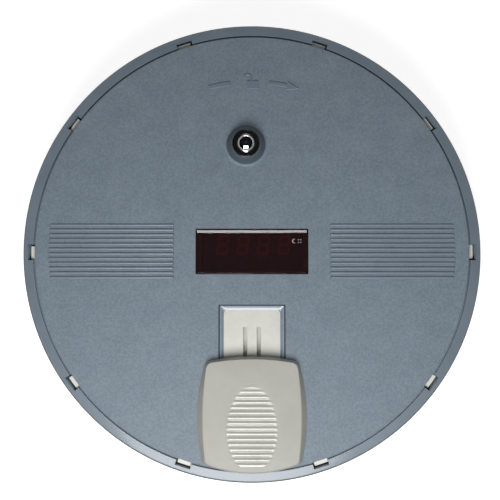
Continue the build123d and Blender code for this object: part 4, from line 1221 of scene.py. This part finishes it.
@dataclass(frozen=True)
class Footprint:
    """A four-sided outline with bowed sides and rounded corners."""

    inner_y: float
    outer_y: float
    inner_half: float
    belly_half: float
    outer_half: float
    inner_bow: float
    outer_bow: float
    belly_y: float = -97.0
    corner: float = 4.0
    side_steps: int = 150
    end_steps: int = 60
    corner_steps: int = 10

    def points(self) -> list[Point]:
        """Returns the outline counter-clockwise, from the outer end's left corner."""
        inner, outer = self.inner_y - self.inner_bow, self.outer_y + self.outer_bow
        corners = [
            Vector((-self.outer_half, outer)),
            Vector((self.outer_half, outer)),
            Vector((self.inner_half, inner)),
            Vector((-self.inner_half, inner)),
        ]
        middles = [
            Vector((0, self.outer_y)),
            Vector((self.belly_half, self.belly_y)),
            Vector((0, self.inner_y)),
            Vector((-self.belly_half, self.belly_y)),
        ]
        sides = [self.circle(corners[k], middles[k], corners[(k + 1) % 4]) for k in range(4)]
        rounds = [self.meet(sides[k - 1], sides[k], corners[k]) for k in range(4)]
        outline: list[Point] = []
        for k, (centre, radius) in enumerate(sides):
            before, after = rounds[k], rounds[(k + 1) % 4]
            steps = self.end_steps if k % 2 == 0 else self.side_steps
            outline += self.swing(centre, radius, before - centre, after - centre, steps)
            next_centre = sides[(k + 1) % 4][0]
            outline += self.swing(after, self.corner, after - centre, after - next_centre, self.corner_steps)
        return outline

    @staticmethod
    def circle(a: Vector, b: Vector, c: Vector) -> tuple[Vector, float]:
        """Returns the centre and radius of the circle through three points."""
        d = 2 * (a.x * (b.y - c.y) + b.x * (c.y - a.y) + c.x * (a.y - b.y))
        x = (a.dot(a) * (b.y - c.y) + b.dot(b) * (c.y - a.y) + c.dot(c) * (a.y - b.y)) / d
        y = (a.dot(a) * (c.x - b.x) + b.dot(b) * (a.x - c.x) + c.dot(c) * (b.x - a.x)) / d
        centre = Vector((x, y))
        return centre, (a - centre).length

    def meet(self, one: tuple[Vector, float], other: tuple[Vector, float], near: Vector) -> Vector:
        """Returns the centre of the round that touches two side circles from inside.

        Args:
            one: Centre and radius of a side's circle.
            other: The same of the next side.
            near: The sharp corner between them.

        Returns:
            The round's centre.
        """
        (p, r1), (q, r2) = one, other
        r1, r2 = r1 - self.corner, r2 - self.corner
        gap = q - p
        along = (r1**2 - r2**2 + gap.length_squared) / (2 * gap.length)
        across = math.sqrt(max(0.0, r1**2 - along**2))
        unit = gap.normalized()
        foot = p + unit * along
        found = [foot + Vector((-unit.y, unit.x)) * across * side for side in (-1, 1)]
        return min(found, key=lambda point: (point - near).length)

    @staticmethod
    def swing(centre: Vector, radius: float, first: Vector, last: Vector, steps: int) -> list[Point]:
        """Returns the points of an arc between two directions, without the last one."""
        start = math.degrees(math.atan2(first.y, first.x))
        sweep = math.degrees(math.atan2(first.cross(last), first.dot(last)))
        return arc(radius, start, start + sweep, steps, (centre.x, centre.y))[:-1]


@dataclass
class SlidingDoor:
    """The domed door with its waved, egg-shaped finger grip, and two snap legs."""

    levels: Levels
    foot_line: Footprint = Footprint(-60.3, -127.3, 26.7, 31.6, 28.5, 2.6, 5.6)
    shoulder_line: Footprint = Footprint(-61.6, -125.3, 25.7, 27.7, 26.4, 2.4, 5.0)
    crown: float = 0.6
    side_rings: int = 14
    top_rings: int = 70
    spine: Point = (-77.0, -117.0)
    first_wave: float = -76.9
    wave_pitch: float = 2.99
    wave_count: int = 16
    wave_depth: float = 0.6
    scoop_depth: float = 0.3
    egg_half: float = 15.75
    egg_middle: float = -102.9
    egg_reach: Point = (28.7, 24.5)
    egg_shore: float = 3.4
    wall: float = 1.7
    wall_share: Point = (0.7, 0.84)
    leg_x: float = 3.95
    leg_y: float = -74.1

    def inward(self, x: float, y: float) -> float:
        """Returns how far inside the egg's edge a point lies, less than 0 outside it."""
        reach = self.egg_reach[0] if y > self.egg_middle else self.egg_reach[1]
        return self.egg_half * (1 - math.hypot(x / self.egg_half, (y - self.egg_middle) / reach))

    def wave(self, x: float, y: float) -> float:
        """Returns how deep the grip lies at a point: rounded ridges, with creases between them."""
        inward = self.inward(x, y)
        if inward <= 0:
            return 0.0
        fade = min(1.0, inward / self.egg_shore)
        fade = fade * fade * (3 - 2 * fade)
        last = self.first_wave - (self.wave_count - 1) * self.wave_pitch
        if y > self.first_wave + self.wave_pitch / 2:
            return self.scoop_depth * fade
        if y < last:
            return 0.0
        phase = (y - self.first_wave) / self.wave_pitch
        return self.wave_depth * fade * (2 * (phase - round(phase))) ** 2

    def flank(self, t: float) -> Point:
        """Returns how far in and up the side is at t, from 0 at its foot to 1: a steep wall, then a quick round."""
        run, rise = self.wall_share
        if t < 0.5:
            return run * t * 2, rise * t * 2
        u = t * 2 - 1
        turn = run / rise
        return run * (1 - u) ** 2 + turn * 2 * u * (1 - u) + u**2, rise * (1 - u) ** 2 + 2 * u * (1 - u) + u**2

    def skin(self) -> Object:
        """Returns the door's outer skin: a grid wrapped from the foot line up to a middle line.

        The waves on a crowned top can't be had by extruding, so each point is placed by formula.
        """
        foot, shoulder = self.foot_line.points(), self.shoulder_line.points()
        around, rings = len(foot), self.side_rings + self.top_rings
        low, high = self.levels.lid_top + 0.3, top_of("slide_door")
        bpy.ops.object.select_all(action="DESELECT")
        bpy.ops.mesh.primitive_grid_add(x_subdivisions=around, y_subdivisions=rings, size=1)
        skin = bpy.context.active_object
        skin.name = "door_moulded"
        places: list[float] = []
        for j in range(rings + 1):
            for i in range(around + 1):
                (fx, fy), (sx, sy) = foot[i % around], shoulder[i % around]
                if j <= self.side_rings:
                    run, rise = self.flank(j / self.side_rings)
                    x, y = fx + (sx - fx) * run, fy + (sy - fy) * run
                    z = low + (high - self.crown - low) * rise
                else:
                    u = (j - self.side_rings) / self.top_rings
                    middle_y = min(self.spine[0], max(self.spine[1], sy))
                    x, y = sx * (1 - u), sy + (middle_y - sy) * u
                    z = high - self.crown * (1 - u) ** 1.6 - self.wave(x, y)
                places.extend(metres(x, y, z))
        skin.data.vertices.foreach_set("co", places)
        skin.data.update()
        return tidy(skin)

    def leg(self, side: int) -> Object:
        """Returns one snap leg, with its barb under the track plate."""
        foot = foot_of("slide_door")
        barb_top = self.levels.plate_foot - 0.4
        x = side * self.leg_x
        plain = box_outline(2.0, 7.0, 0.3, (x, self.leg_y))
        barbed = box_outline(3.0, 7.0, 0.3, (x + side * 0.5, self.leg_y))
        return lofted(
            f"leg_{side}",
            [(plain, foot), (barbed, barb_top - 0.3), (barbed, barb_top), (plain, barb_top + 0.01), (plain, top_of("slide_door") - 2.2)],
        )

    def build(self) -> Object:
        """Returns the finished door."""
        door = modify(self.skin(), "SOLIDIFY", thickness=self.wall * MM, offset=-1.0)
        door = gather([door, self.leg(-1), self.leg(1)])
        dress(smooth(door, 50), DOOR_ABS, GRIP_ABS)
        with editing(door):
            shore, lid_top = self.egg_shore / 2, self.levels.lid_top
            last = self.first_wave - (self.wave_count - 1) * self.wave_pitch
            select_faces(
                door,
                lambda at, normal: normal.z > 0.1
                and at.z > lid_top + 3
                and self.inward(at.x, at.y) > shore
                and last - 0.6 < at.y < self.first_wave + 1.0,
            )
            door.active_material_index = 1
            bpy.ops.object.material_slot_assign()
        return place_on(door, "door", "door_plastic", "slide_door")


# ---- Lock ---------------------------------------------------------------------------------------


@dataclass
class KeyLock:
    """The tubular key lock: a black head on the boss, a chrome rim, and the keyway ring."""

    levels: Levels
    at: Point = (-3.5, 62.5)
    head_r: float = 8.0
    bezel_width: float = 0.6
    barrel_r: float = 6.2
    plug_r: float = 4.8
    keyway_outer_r: float = 3.8
    keyway_inner_r: float = 2.5
    keyway_depth: float = 3.5
    notch: Point = (1.4, 1.3)

    def tongue(self, name: str, near: float, far: float, high: float, low: float) -> Object:
        """Returns a domed metal tongue below the middle of the lock, falling away to the front.

        Args:
            name: Of the new piece.
            near: Where it starts, from the lock's middle.
            far: Where it ends.
            high: Its height at the start.
            low: Its height at the end.
        """
        x, y = self.at
        half = self.notch[0]
        stations = [near + (far - near) * k / 6 for k in range(7)]
        section = [(-half, -1.0), *[(half * -math.cos(a), 0.1 * math.sin(a)) for a in (k * math.pi / 8 for k in range(1, 8))], (half, -1.0)]
        piece = trace(name, [metres(x + a, y - near, high + b) for a, b in section])
        with editing(piece):
            bpy.ops.mesh.select_all(action="SELECT")
            bpy.ops.mesh.edge_face_add()
            for here, ahead in zip(stations, stations[1:]):
                fall = (low - high) * (ahead - here) / (far - near)
                bpy.ops.mesh.extrude_region_move(TRANSFORM_OT_translate={"value": metres(0, here - ahead, fall)})
        return tidy(piece)

    def head(self) -> Object:
        """Returns the black head and barrel, dished a little towards the keyway."""
        top, foot, seat = top_of("lock_body"), foot_of("lock_body"), top_of("lid_shell")
        rim_r = self.head_r - self.bezel_width - 0.02
        profile = [
            (self.plug_r + 0.05, foot),
            (self.barrel_r - 0.3, foot),
            (self.barrel_r, foot + 0.3),
            (self.barrel_r, seat + 0.02),
            (rim_r, seat + 0.02),
            (rim_r, top - 0.35),
            *arc(0.3, 0, 90, 3, (rim_r - 0.3, top - 0.35)),
            (self.plug_r + 1.0, top - 0.12),
            *arc(0.35, 60, 160, 3, (self.plug_r + 0.45, top - 0.42)),
            (self.plug_r + 0.05, top - 0.9),
        ]
        head = turned("lock_head", profile, 72, self.at)
        tongue = self.tongue("key_stop", self.plug_r + 0.15, self.plug_r + 1.9, top - 0.12, top - 0.75)
        dress(head, LOCK_FACE)
        dress(tongue, CHROME)
        head = smooth(gather([head, tongue]), 30)
        return place_on(head, "lid", "black_plastic", "lock_body")

    def bezel(self) -> Object:
        """Returns the thin chrome rim round the head."""
        top, seat = top_of("lock_bezel"), top_of("lid_shell")
        inner = self.head_r - self.bezel_width
        profile = [
            (inner, seat + 0.02),
            (self.head_r - 0.1, seat + 0.02),
            (self.head_r, seat + 0.12),
            (self.head_r, top - 0.5),
            *arc(0.3, 0, 120, 5, (self.head_r - 0.3, top - 0.3)),
            (inner, top - 0.35),
        ]
        bezel = turned("lock_rim", profile, 96, self.at)
        # Painted reflection: the rim's chrome is painted dark.
        dress(smooth(bezel, 45), DARKENED_CHROME)
        return place_on(bezel, "lid", "chrome", "lock_bezel")

    def plug(self) -> Object:
        """Returns the turning plug: chrome ring, round key slot with its notch, and centre post."""
        top, foot = top_of("lock_plug"), foot_of("lock_plug")
        bed = top - self.keyway_depth
        ring_middle = (self.plug_r - 0.02 + self.keyway_outer_r) / 2
        ring_half = (self.plug_r - 0.02 - self.keyway_outer_r) / 2
        sleeve = [
            (0, bed - 1.5),
            (self.plug_r - 0.02, bed - 1.5),
            (self.plug_r - 0.02, top - 0.55),
            *[
                (ring_middle + ring_half * math.cos(a), top - 0.5 + 0.5 * math.sin(a))
                for a in (k * math.pi / 10 for k in range(1, 10))
            ],
            (self.keyway_outer_r, top - 0.55),
            (self.keyway_outer_r, bed),
            (self.keyway_inner_r, bed),
            (self.keyway_inner_r, top - 0.75),
            *arc(0.35, 0, 90, 3, (self.keyway_inner_r - 0.35, top - 0.75)),
            (1.0, top - 0.4),
            (0.8, top - 0.9),
            (0, top - 1.2),
        ]
        plug = turned("keyway", sleeve, 72, self.at)
        shaft = raised("plug_shaft", box_outline(5.0, 5.0, 0.4, self.at), foot, bed - 0.5)
        stem = turned("plug_stem", [(0, foot + 3.3), (self.plug_r - 0.02, foot + 3.3), (self.plug_r - 0.02, bed - 1.2), (0, bed - 1.2)], 72, self.at)
        tongue = self.tongue("key_tongue", self.keyway_inner_r - 0.8, self.plug_r - 0.85, top - 0.12, top - 0.9)
        weld(plug, stem, shaft, tongue)
        dress(smooth(plug, 30), CHROME, KEY_SLOT_SHADE)
        x, y = self.at
        # Painted shade: the keyway's walls, bed and post get the dark steel.
        with editing(plug):
            select_faces(
                plug,
                lambda at, _: math.hypot(at.x - x, at.y - y) < self.keyway_outer_r - 0.02
                and at.z > bed - 0.2
                and not (abs(at.x - x) < self.notch[0] + 0.05 and at.y < y - 1.6 and at.z > top - 0.6),
            )
            plug.active_material_index = 1
            bpy.ops.object.material_slot_assign()
        return place_on(plug, "lock", "chrome", "lock_plug")

    def build(self) -> list[Object]:
        """Returns the finished lock."""
        return [self.head(), self.bezel(), self.plug()]


# ---- Base ---------------------------------------------------------------------------------------


@dataclass
class BaseCase:
    """The round base: wall, ledge and spigot, ten bayonet lugs, rails, posts and battery room."""

    levels: Levels
    foot_r: float = 129.05
    top_r: float = 133.05
    corner_r: float = 7.0
    wall: float = 2.5
    spigot_r: float = 126.2
    spigot_wall: float = 2.2
    ledge_wall: float = 2.2
    lug_count: int = 10
    lug_length: float = 8.2
    lug_shift: float = 0.2
    lug_height: float = 2.5
    lug_r: float = 128.8
    window_mid_r: float = 128.05
    stop_height: float = 8.0
    outer_rail_r: float = 120.7
    inner_rail_r: float = 87.5
    rail_top: float = 18.7
    hub_ring_r: float = 77.2
    hub_posts: Point = (54.0, 40.0)
    board_posts: tuple[float, float, float] = (43.0, -35.0, 27.0)
    motor_at: Point = (-75.0, 16.5)
    room: Point = (60.4, 55.5)
    room_top: float = 21.2
    hatch_lip: float = 3.0
    hatch_depth: float = 2.0
    tab_y: float = -35.25
    tab_r: float = 5.5
    foot_circle_r: float = 108.0
    foot_count: int = 6

    def shell(self) -> Object:
        """Returns the turned case with its ledge and spigot."""
        at = self.levels
        low, top = at.underside, at.spigot_top
        r = self.foot_r - self.corner_r
        inner = self.foot_r - self.wall
        spigot_in = self.spigot_r - self.spigot_wall
        profile = [
            (0, low),
            (r, low),
            *arc(self.corner_r, -90, 0, 10, (r, low + self.corner_r))[1:],
            (self.top_r - 0.06, at.ledge - 0.6),
            *arc(0.4, 0, 90, 3, (self.top_r - 0.4, at.ledge - 0.4)),
            (self.spigot_r, at.ledge),
            (self.spigot_r, top - 0.5),
            (self.spigot_r - 0.5, top),
            (spigot_in + 0.5, top),
            (spigot_in, top - 0.5),
            (spigot_in, at.ledge - self.ledge_wall),
            (inner, at.ledge - self.ledge_wall),
            (inner, low + self.corner_r),
            (r, at.floor),
            (0, at.floor),
        ]
        return turned("base_case", profile, 240)

    def lugs(self) -> list[Object]:
        """Returns the ten bayonet lugs, softened, of which each shows in its window."""
        top = self.levels.spigot_top
        outline = sector(self.spigot_r - 1.1, self.lug_r, self.lug_shift, self.lug_length * 127.7 / self.window_mid_r)
        first = soften(raised("bayonet_0", outline, top - self.lug_height, top - 0.01), 0.35, 2)
        others = [
            again(first, f"bayonet_{k}", turn=k * 360 / self.lug_count) for k in range(1, self.lug_count)
        ]
        return [first, *others]

    def stops(self) -> list[Object]:
        """Returns the two stops that end the lid's turn."""
        foot = self.levels.ledge - 0.3
        outline = sector(self.spigot_r - 1.1, self.lug_r, 18, 3.0)
        first = raised("stop_0", outline, foot, self.levels.ledge + self.stop_height)
        return [first, again(first, "stop_1", turn=180)]

    def rings(self) -> list[Object]:
        """Returns the two rails and the hub ring, each sunk a little into the floor."""
        at = self.levels
        sunk = at.floor - 0.5
        rings = [
            (self.outer_rail_r, self.wall, self.rail_top),
            (self.inner_rail_r + self.wall, self.wall, self.rail_top),
            (self.hub_ring_r, 2.2, at.floor + 6.0),
        ]
        made = [
            turned(f"ring_{k}", [(r - w, sunk), (r, sunk), (r, top - 0.3), (r - 0.3, top), (r - w + 0.3, top), (r - w, top - 0.3)], 240)
            for k, (r, w, top) in enumerate(rings)
        ]
        cut(made[-1], raised("gate", box_outline(48.0, 46.0, 0.0, (self.motor_at[0], 0)), sunk - 1, at.floor + 8))
        return made

    def posts(self) -> list[Object]:
        """Returns the screw posts, each sunk a little into the floor."""
        at = self.levels
        sunk = at.floor - 0.5
        hub_x, hub_y = self.hub_posts
        board_x, low_y, high_y = self.board_posts
        motor_x, motor_y = self.motor_at
        posts = [(x, y, top_of("hub_cover") - 2.0, 3.5) for x in (-hub_x, hub_x) for y in (-hub_y, hub_y)]
        posts += [(x, y, foot_of("main_board"), 3.5) for x in (-board_x, board_x) for y in (low_y, high_y)]
        posts += [(motor_x, y, foot_of("drive_motor") + 10.0, 3.6) for y in (-motor_y, motor_y)]
        posts += [(0.0, self.tab_y, at.floor + 6.0, 3.5)]
        made = []
        for k, (x, y, top, r) in enumerate(posts):
            foot = [(1.25, sunk), (r + 0.8, sunk), (r + 0.8, at.floor + 0.02), (r, at.floor + 1)]
            profile = [*foot, (r, top - 0.3), (r - 0.3, top), (1.25, top)]
            made.append(turned(f"post_{k}", profile, 32, (x, y)))
        return made

    def build(self) -> Object:
        """Returns the finished base."""
        at = self.levels
        case = self.shell()
        room_x, room_y = self.room
        room = raised("room", box_outline(room_x + 3.6, room_y + 3.6, 1.5), at.floor - 0.5, self.room_top)
        inlet = middle_of("power_jack")
        pedestal = raised("pedestal", box_outline(9.0, 6.0, 0.5, (0, inlet[1] - 2.4)), at.floor - 0.5, foot_of("power_jack"))
        for piece in (room, pedestal):
            soften(piece, 0.4, 2)
        weld(case, room, pedestal, gather([*self.lugs(), *self.stops()]), *self.rings(), gather(self.posts()))
        hollow = raised("hollow", box_outline(room_x, room_y), at.underside - 1, self.room_top - 1.8)
        lip = 2 * self.hatch_lip
        recess = raised("recess", box_outline(room_x + lip, room_y + lip, 1.0), at.underside - 1, at.underside + self.hatch_depth)
        tab = raised("tab", box_outline(2 * self.tab_r, 16.0, self.tab_r - 0.05, (0, self.tab_y + 2.5)), at.underside - 1, at.underside + self.hatch_depth)
        mouth = raised("mouth", box_outline(9.0, 14.0, 0.4, (0, inlet[1] + 1.0)), foot_of("power_jack"), top_of("power_jack") + 0.2)
        seats = gather(
            [
                turned(
                    f"seat_{k}",
                    [(0, at.underside - 1), (7.1, at.underside - 1), (7.1, at.underside + 1), (0, at.underside + 1)],
                    48,
                    on_circle(self.foot_circle_r, (k + 0.5) * 360 / self.foot_count),
                )
                for k in range(self.foot_count)
            ]
        )
        cut(case, hollow, recess, tab, mouth, seats)
        dress(smooth(case), BASE_ABS)
        return place_on(case, "base", "cream_plastic", "base_shell")


@dataclass
class Feet:
    """Six rubber feet with ringed treads."""

    circle_r: float = 108.0
    foot_r: float = 7.0
    height: float = 3.0
    count: int = 6

    def build(self) -> Object:
        """Returns the finished feet."""
        tread = [(r, z) for k in range(3) for r, z in ((1.2 + 1.6 * k, 0.0), (1.5 + 1.6 * k, 0.5), (1.9 + 1.6 * k, 0.5), (2.2 + 1.6 * k, 0.0))]
        profile = [(0, 0), *tread, (self.foot_r - 1.0, 0), (self.foot_r - 0.3, 0.3), (self.foot_r, 1.0), (self.foot_r, self.height), (0, self.height)]
        first = turned("rubber_pads", profile, 48, on_circle(self.circle_r, 180 / self.count))
        others = [again(first, f"pad_{k}", turn=k * 360 / self.count) for k in range(1, self.count)]
        feet = gather([first, *others])
        dress(smooth(feet), FOOT_RUBBER)
        return place_on(feet, "base", "rubber", "rubber_feet")


# ---- What the lid hides -------------------------------------------------------------------------


@dataclass
class HiddenWorks:
    """Finishes for the CAD nodes that stay as they are."""

    finishes: tuple[tuple[Plastic | Metal | CircuitBoard, tuple[str, ...]], ...] = (
        (TRAY_PP, ("pill_tray",)),
        (GEAR_POM, ("drive_pinion",)),
        (BASE_ABS, ("hub_cover", "battery_door")),
        (BLACK_PLASTIC, ("power_jack", "index_sensor", "led_display", "tact_switches", "sounder")),
        (BUTTON_RUBBER, ("hour_button", "minute_button", "set_button", "alarm_button")),
        (SLEEVE, ("battery_cells",)),
        (BOARD, ("main_board",)),
        (STEEL, ("drive_motor", "motor_shaft", "lock_keeper", "battery_contacts")),
        (
            ZINC,
            (
                "battery_door_screw",
                "board_screws",
                "cam_screw",
                "hub_cover_screws",
                "lock_cam",
                "lock_nut",
                "motor_screws",
                "track_plate_screws",
            ),
        ),
    )

    def build(self) -> None:
        """Gives each node its finish."""
        for finish, nodes in self.finishes:
            for node in nodes:
                dress(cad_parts[node], finish)
            log.info("%s: %s", finish.name, ", ".join(nodes))


# ---- Studio -------------------------------------------------------------------------------------


@dataclass
class Studio:
    """A camera straight above, one soft lamp in front, even ambient light and a pale floor."""

    aim: tuple[float, float, float] = (-1.16, 1.3, 55.0)
    distance: float = 620.0
    tilt: float = 2.5
    lens: float = 77.0
    lamp_at: tuple[float, float, float] = (-30.0, -255.0, 480.0)
    lamp_aim: tuple[float, float, float] = (0.0, -60.0, 55.0)
    lamp_size: float = 280.0
    lamp_power: float = 2.06
    ambient: float = 0.18
    floor_size: float = 6000.0
    floor_glow: float = 0.8
    card_height: float = 900.0
    card_size: float = 1500.0

    def camera(self) -> Object:
        """Returns the camera, which leans a little back to the front."""
        made = bpy.data.cameras.new("studio_camera")
        made.lens, made.sensor_width, made.clip_start = self.lens, 36.0, 0.01
        camera = bpy.data.objects.new("studio_camera", made)
        bpy.context.scene.collection.objects.link(camera)
        lean = math.radians(self.tilt)
        x, y, z = self.aim
        camera.location = metres(x, y - self.distance * math.sin(lean), z + self.distance * math.cos(lean))
        camera.rotation_euler = (lean, 0, 0)
        bpy.context.scene.camera = camera
        return camera

    def lamp(self) -> Object:
        """Returns the soft lamp, turned to the middle of the lid."""
        made = bpy.data.lights.new("soft_lamp", "AREA")
        made.shape, made.size, made.energy = "DISK", self.lamp_size * MM, self.lamp_power
        lamp = bpy.data.objects.new("soft_lamp", made)
        bpy.context.scene.collection.objects.link(lamp)
        lamp.location = metres(*self.lamp_at)
        towards = metres(*self.lamp_aim) - lamp.location
        lamp.rotation_euler = towards.to_track_quat("-Z", "Y").to_euler()
        return lamp

    @staticmethod
    def seen_directly(tree: NodeTree) -> NodeSocket:
        """Returns 1 for camera, glossy and transmission rays, and 0 for the light that falls on things."""
        path = add_node(tree, "ShaderNodeLightPath")
        some = add_node(
            tree,
            "ShaderNodeMath",
            {"operation": "MAXIMUM"},
            {0: path.outputs["Is Camera Ray"], 1: path.outputs["Is Glossy Ray"]},
        )
        return add_node(
            tree,
            "ShaderNodeMath",
            {"operation": "MAXIMUM"},
            {0: some.outputs["Value"], 1: path.outputs["Is Transmission Ray"]},
        ).outputs["Value"]

    def surroundings(self) -> None:
        """Makes the world white to look at, and dimmer as a light."""
        world = bpy.data.worlds.new("studio_world")
        world.use_nodes = True
        tree = world.node_tree
        strength = add_node(
            tree,
            "ShaderNodeMapRange",
            inputs={"Value": self.seen_directly(tree), "To Min": self.ambient, "To Max": 1.0},
        )
        shine = tree.nodes["Background"]
        shine.inputs["Color"].default_value = (1, 1, 1, 1)
        tree.links.new(strength.outputs["Result"], shine.inputs["Strength"])
        bpy.context.scene.world = world

    def floor(self) -> Object:
        """Returns the floor, matt white, that keeps the object's shadow."""
        bpy.ops.object.select_all(action="DESELECT")
        bpy.ops.mesh.primitive_plane_add(size=self.floor_size * MM)
        floor = bpy.context.active_object
        floor.name = "studio_floor"
        made = bpy.data.materials.new("paper_white")
        made.use_nodes = True
        tree = made.node_tree
        shader = tree.nodes["Principled BSDF"]
        glow = add_node(
            tree,
            "ShaderNodeMath",
            {"operation": "MULTIPLY"},
            {0: self.seen_directly(tree), 1: self.floor_glow},
        )
        shader.inputs["Base Color"].default_value = linear("#e4e4e4")
        shader.inputs["Roughness"].default_value = 1.0
        shader.inputs["Specular IOR Level"].default_value = 0.0
        shader.inputs["Emission Color"].default_value = (1, 1, 1, 1)
        tree.links.new(glow.outputs["Value"], shader.inputs["Emission Strength"])
        floor.data.materials.append(made)
        return floor

    def black_card(self) -> Object:
        """Returns the black card over the camera, which only reflections show, so that gloss stays dark."""
        bpy.ops.object.select_all(action="DESELECT")
        bpy.ops.mesh.primitive_circle_add(
            vertices=64, radius=self.card_size / 2 * MM, fill_type="NGON", location=metres(0, 0, self.card_height)
        )
        card = bpy.context.active_object
        card.name = "studio_card"
        bpy.ops.object.transform_apply(location=True)
        made = bpy.data.materials.new("card_black")
        made.use_nodes = True
        shader = made.node_tree.nodes["Principled BSDF"]
        shader.inputs["Base Color"].default_value = linear("#0a0a0a")
        shader.inputs["Roughness"].default_value = 1.0
        shader.inputs["Specular IOR Level"].default_value = 0.0
        card.data.materials.append(made)
        card.visible_camera = card.visible_diffuse = card.visible_shadow = card.visible_transmission = False
        return card

    def build(self) -> None:
        """Sets up camera, lamp, world, floor and card."""
        self.camera()
        self.lamp()
        self.surroundings()
        self.floor()
        self.black_card()
        view = bpy.context.scene.view_settings
        view.view_transform = "Standard"
        log.info("studio: camera %.0f mm away", self.distance)


def main() -> None:
    """Builds every sub-assembly in order, and reports each piece."""
    logging.basicConfig(level=logging.INFO, format="%(name)s: %(message)s")
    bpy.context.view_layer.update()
    levels = Levels.from_frame()
    Studio().build()
    lid = LidCover(levels)
    lid.build()
    Display(levels).build()
    TrackPlate(levels, lid.plate_line()).build()
    SlidingDoor(levels).build()
    KeyLock(levels).build()
    BaseCase(levels).build()
    Feet().build()
    HiddenWorks().build()


if __name__ == "__main__":
    main()
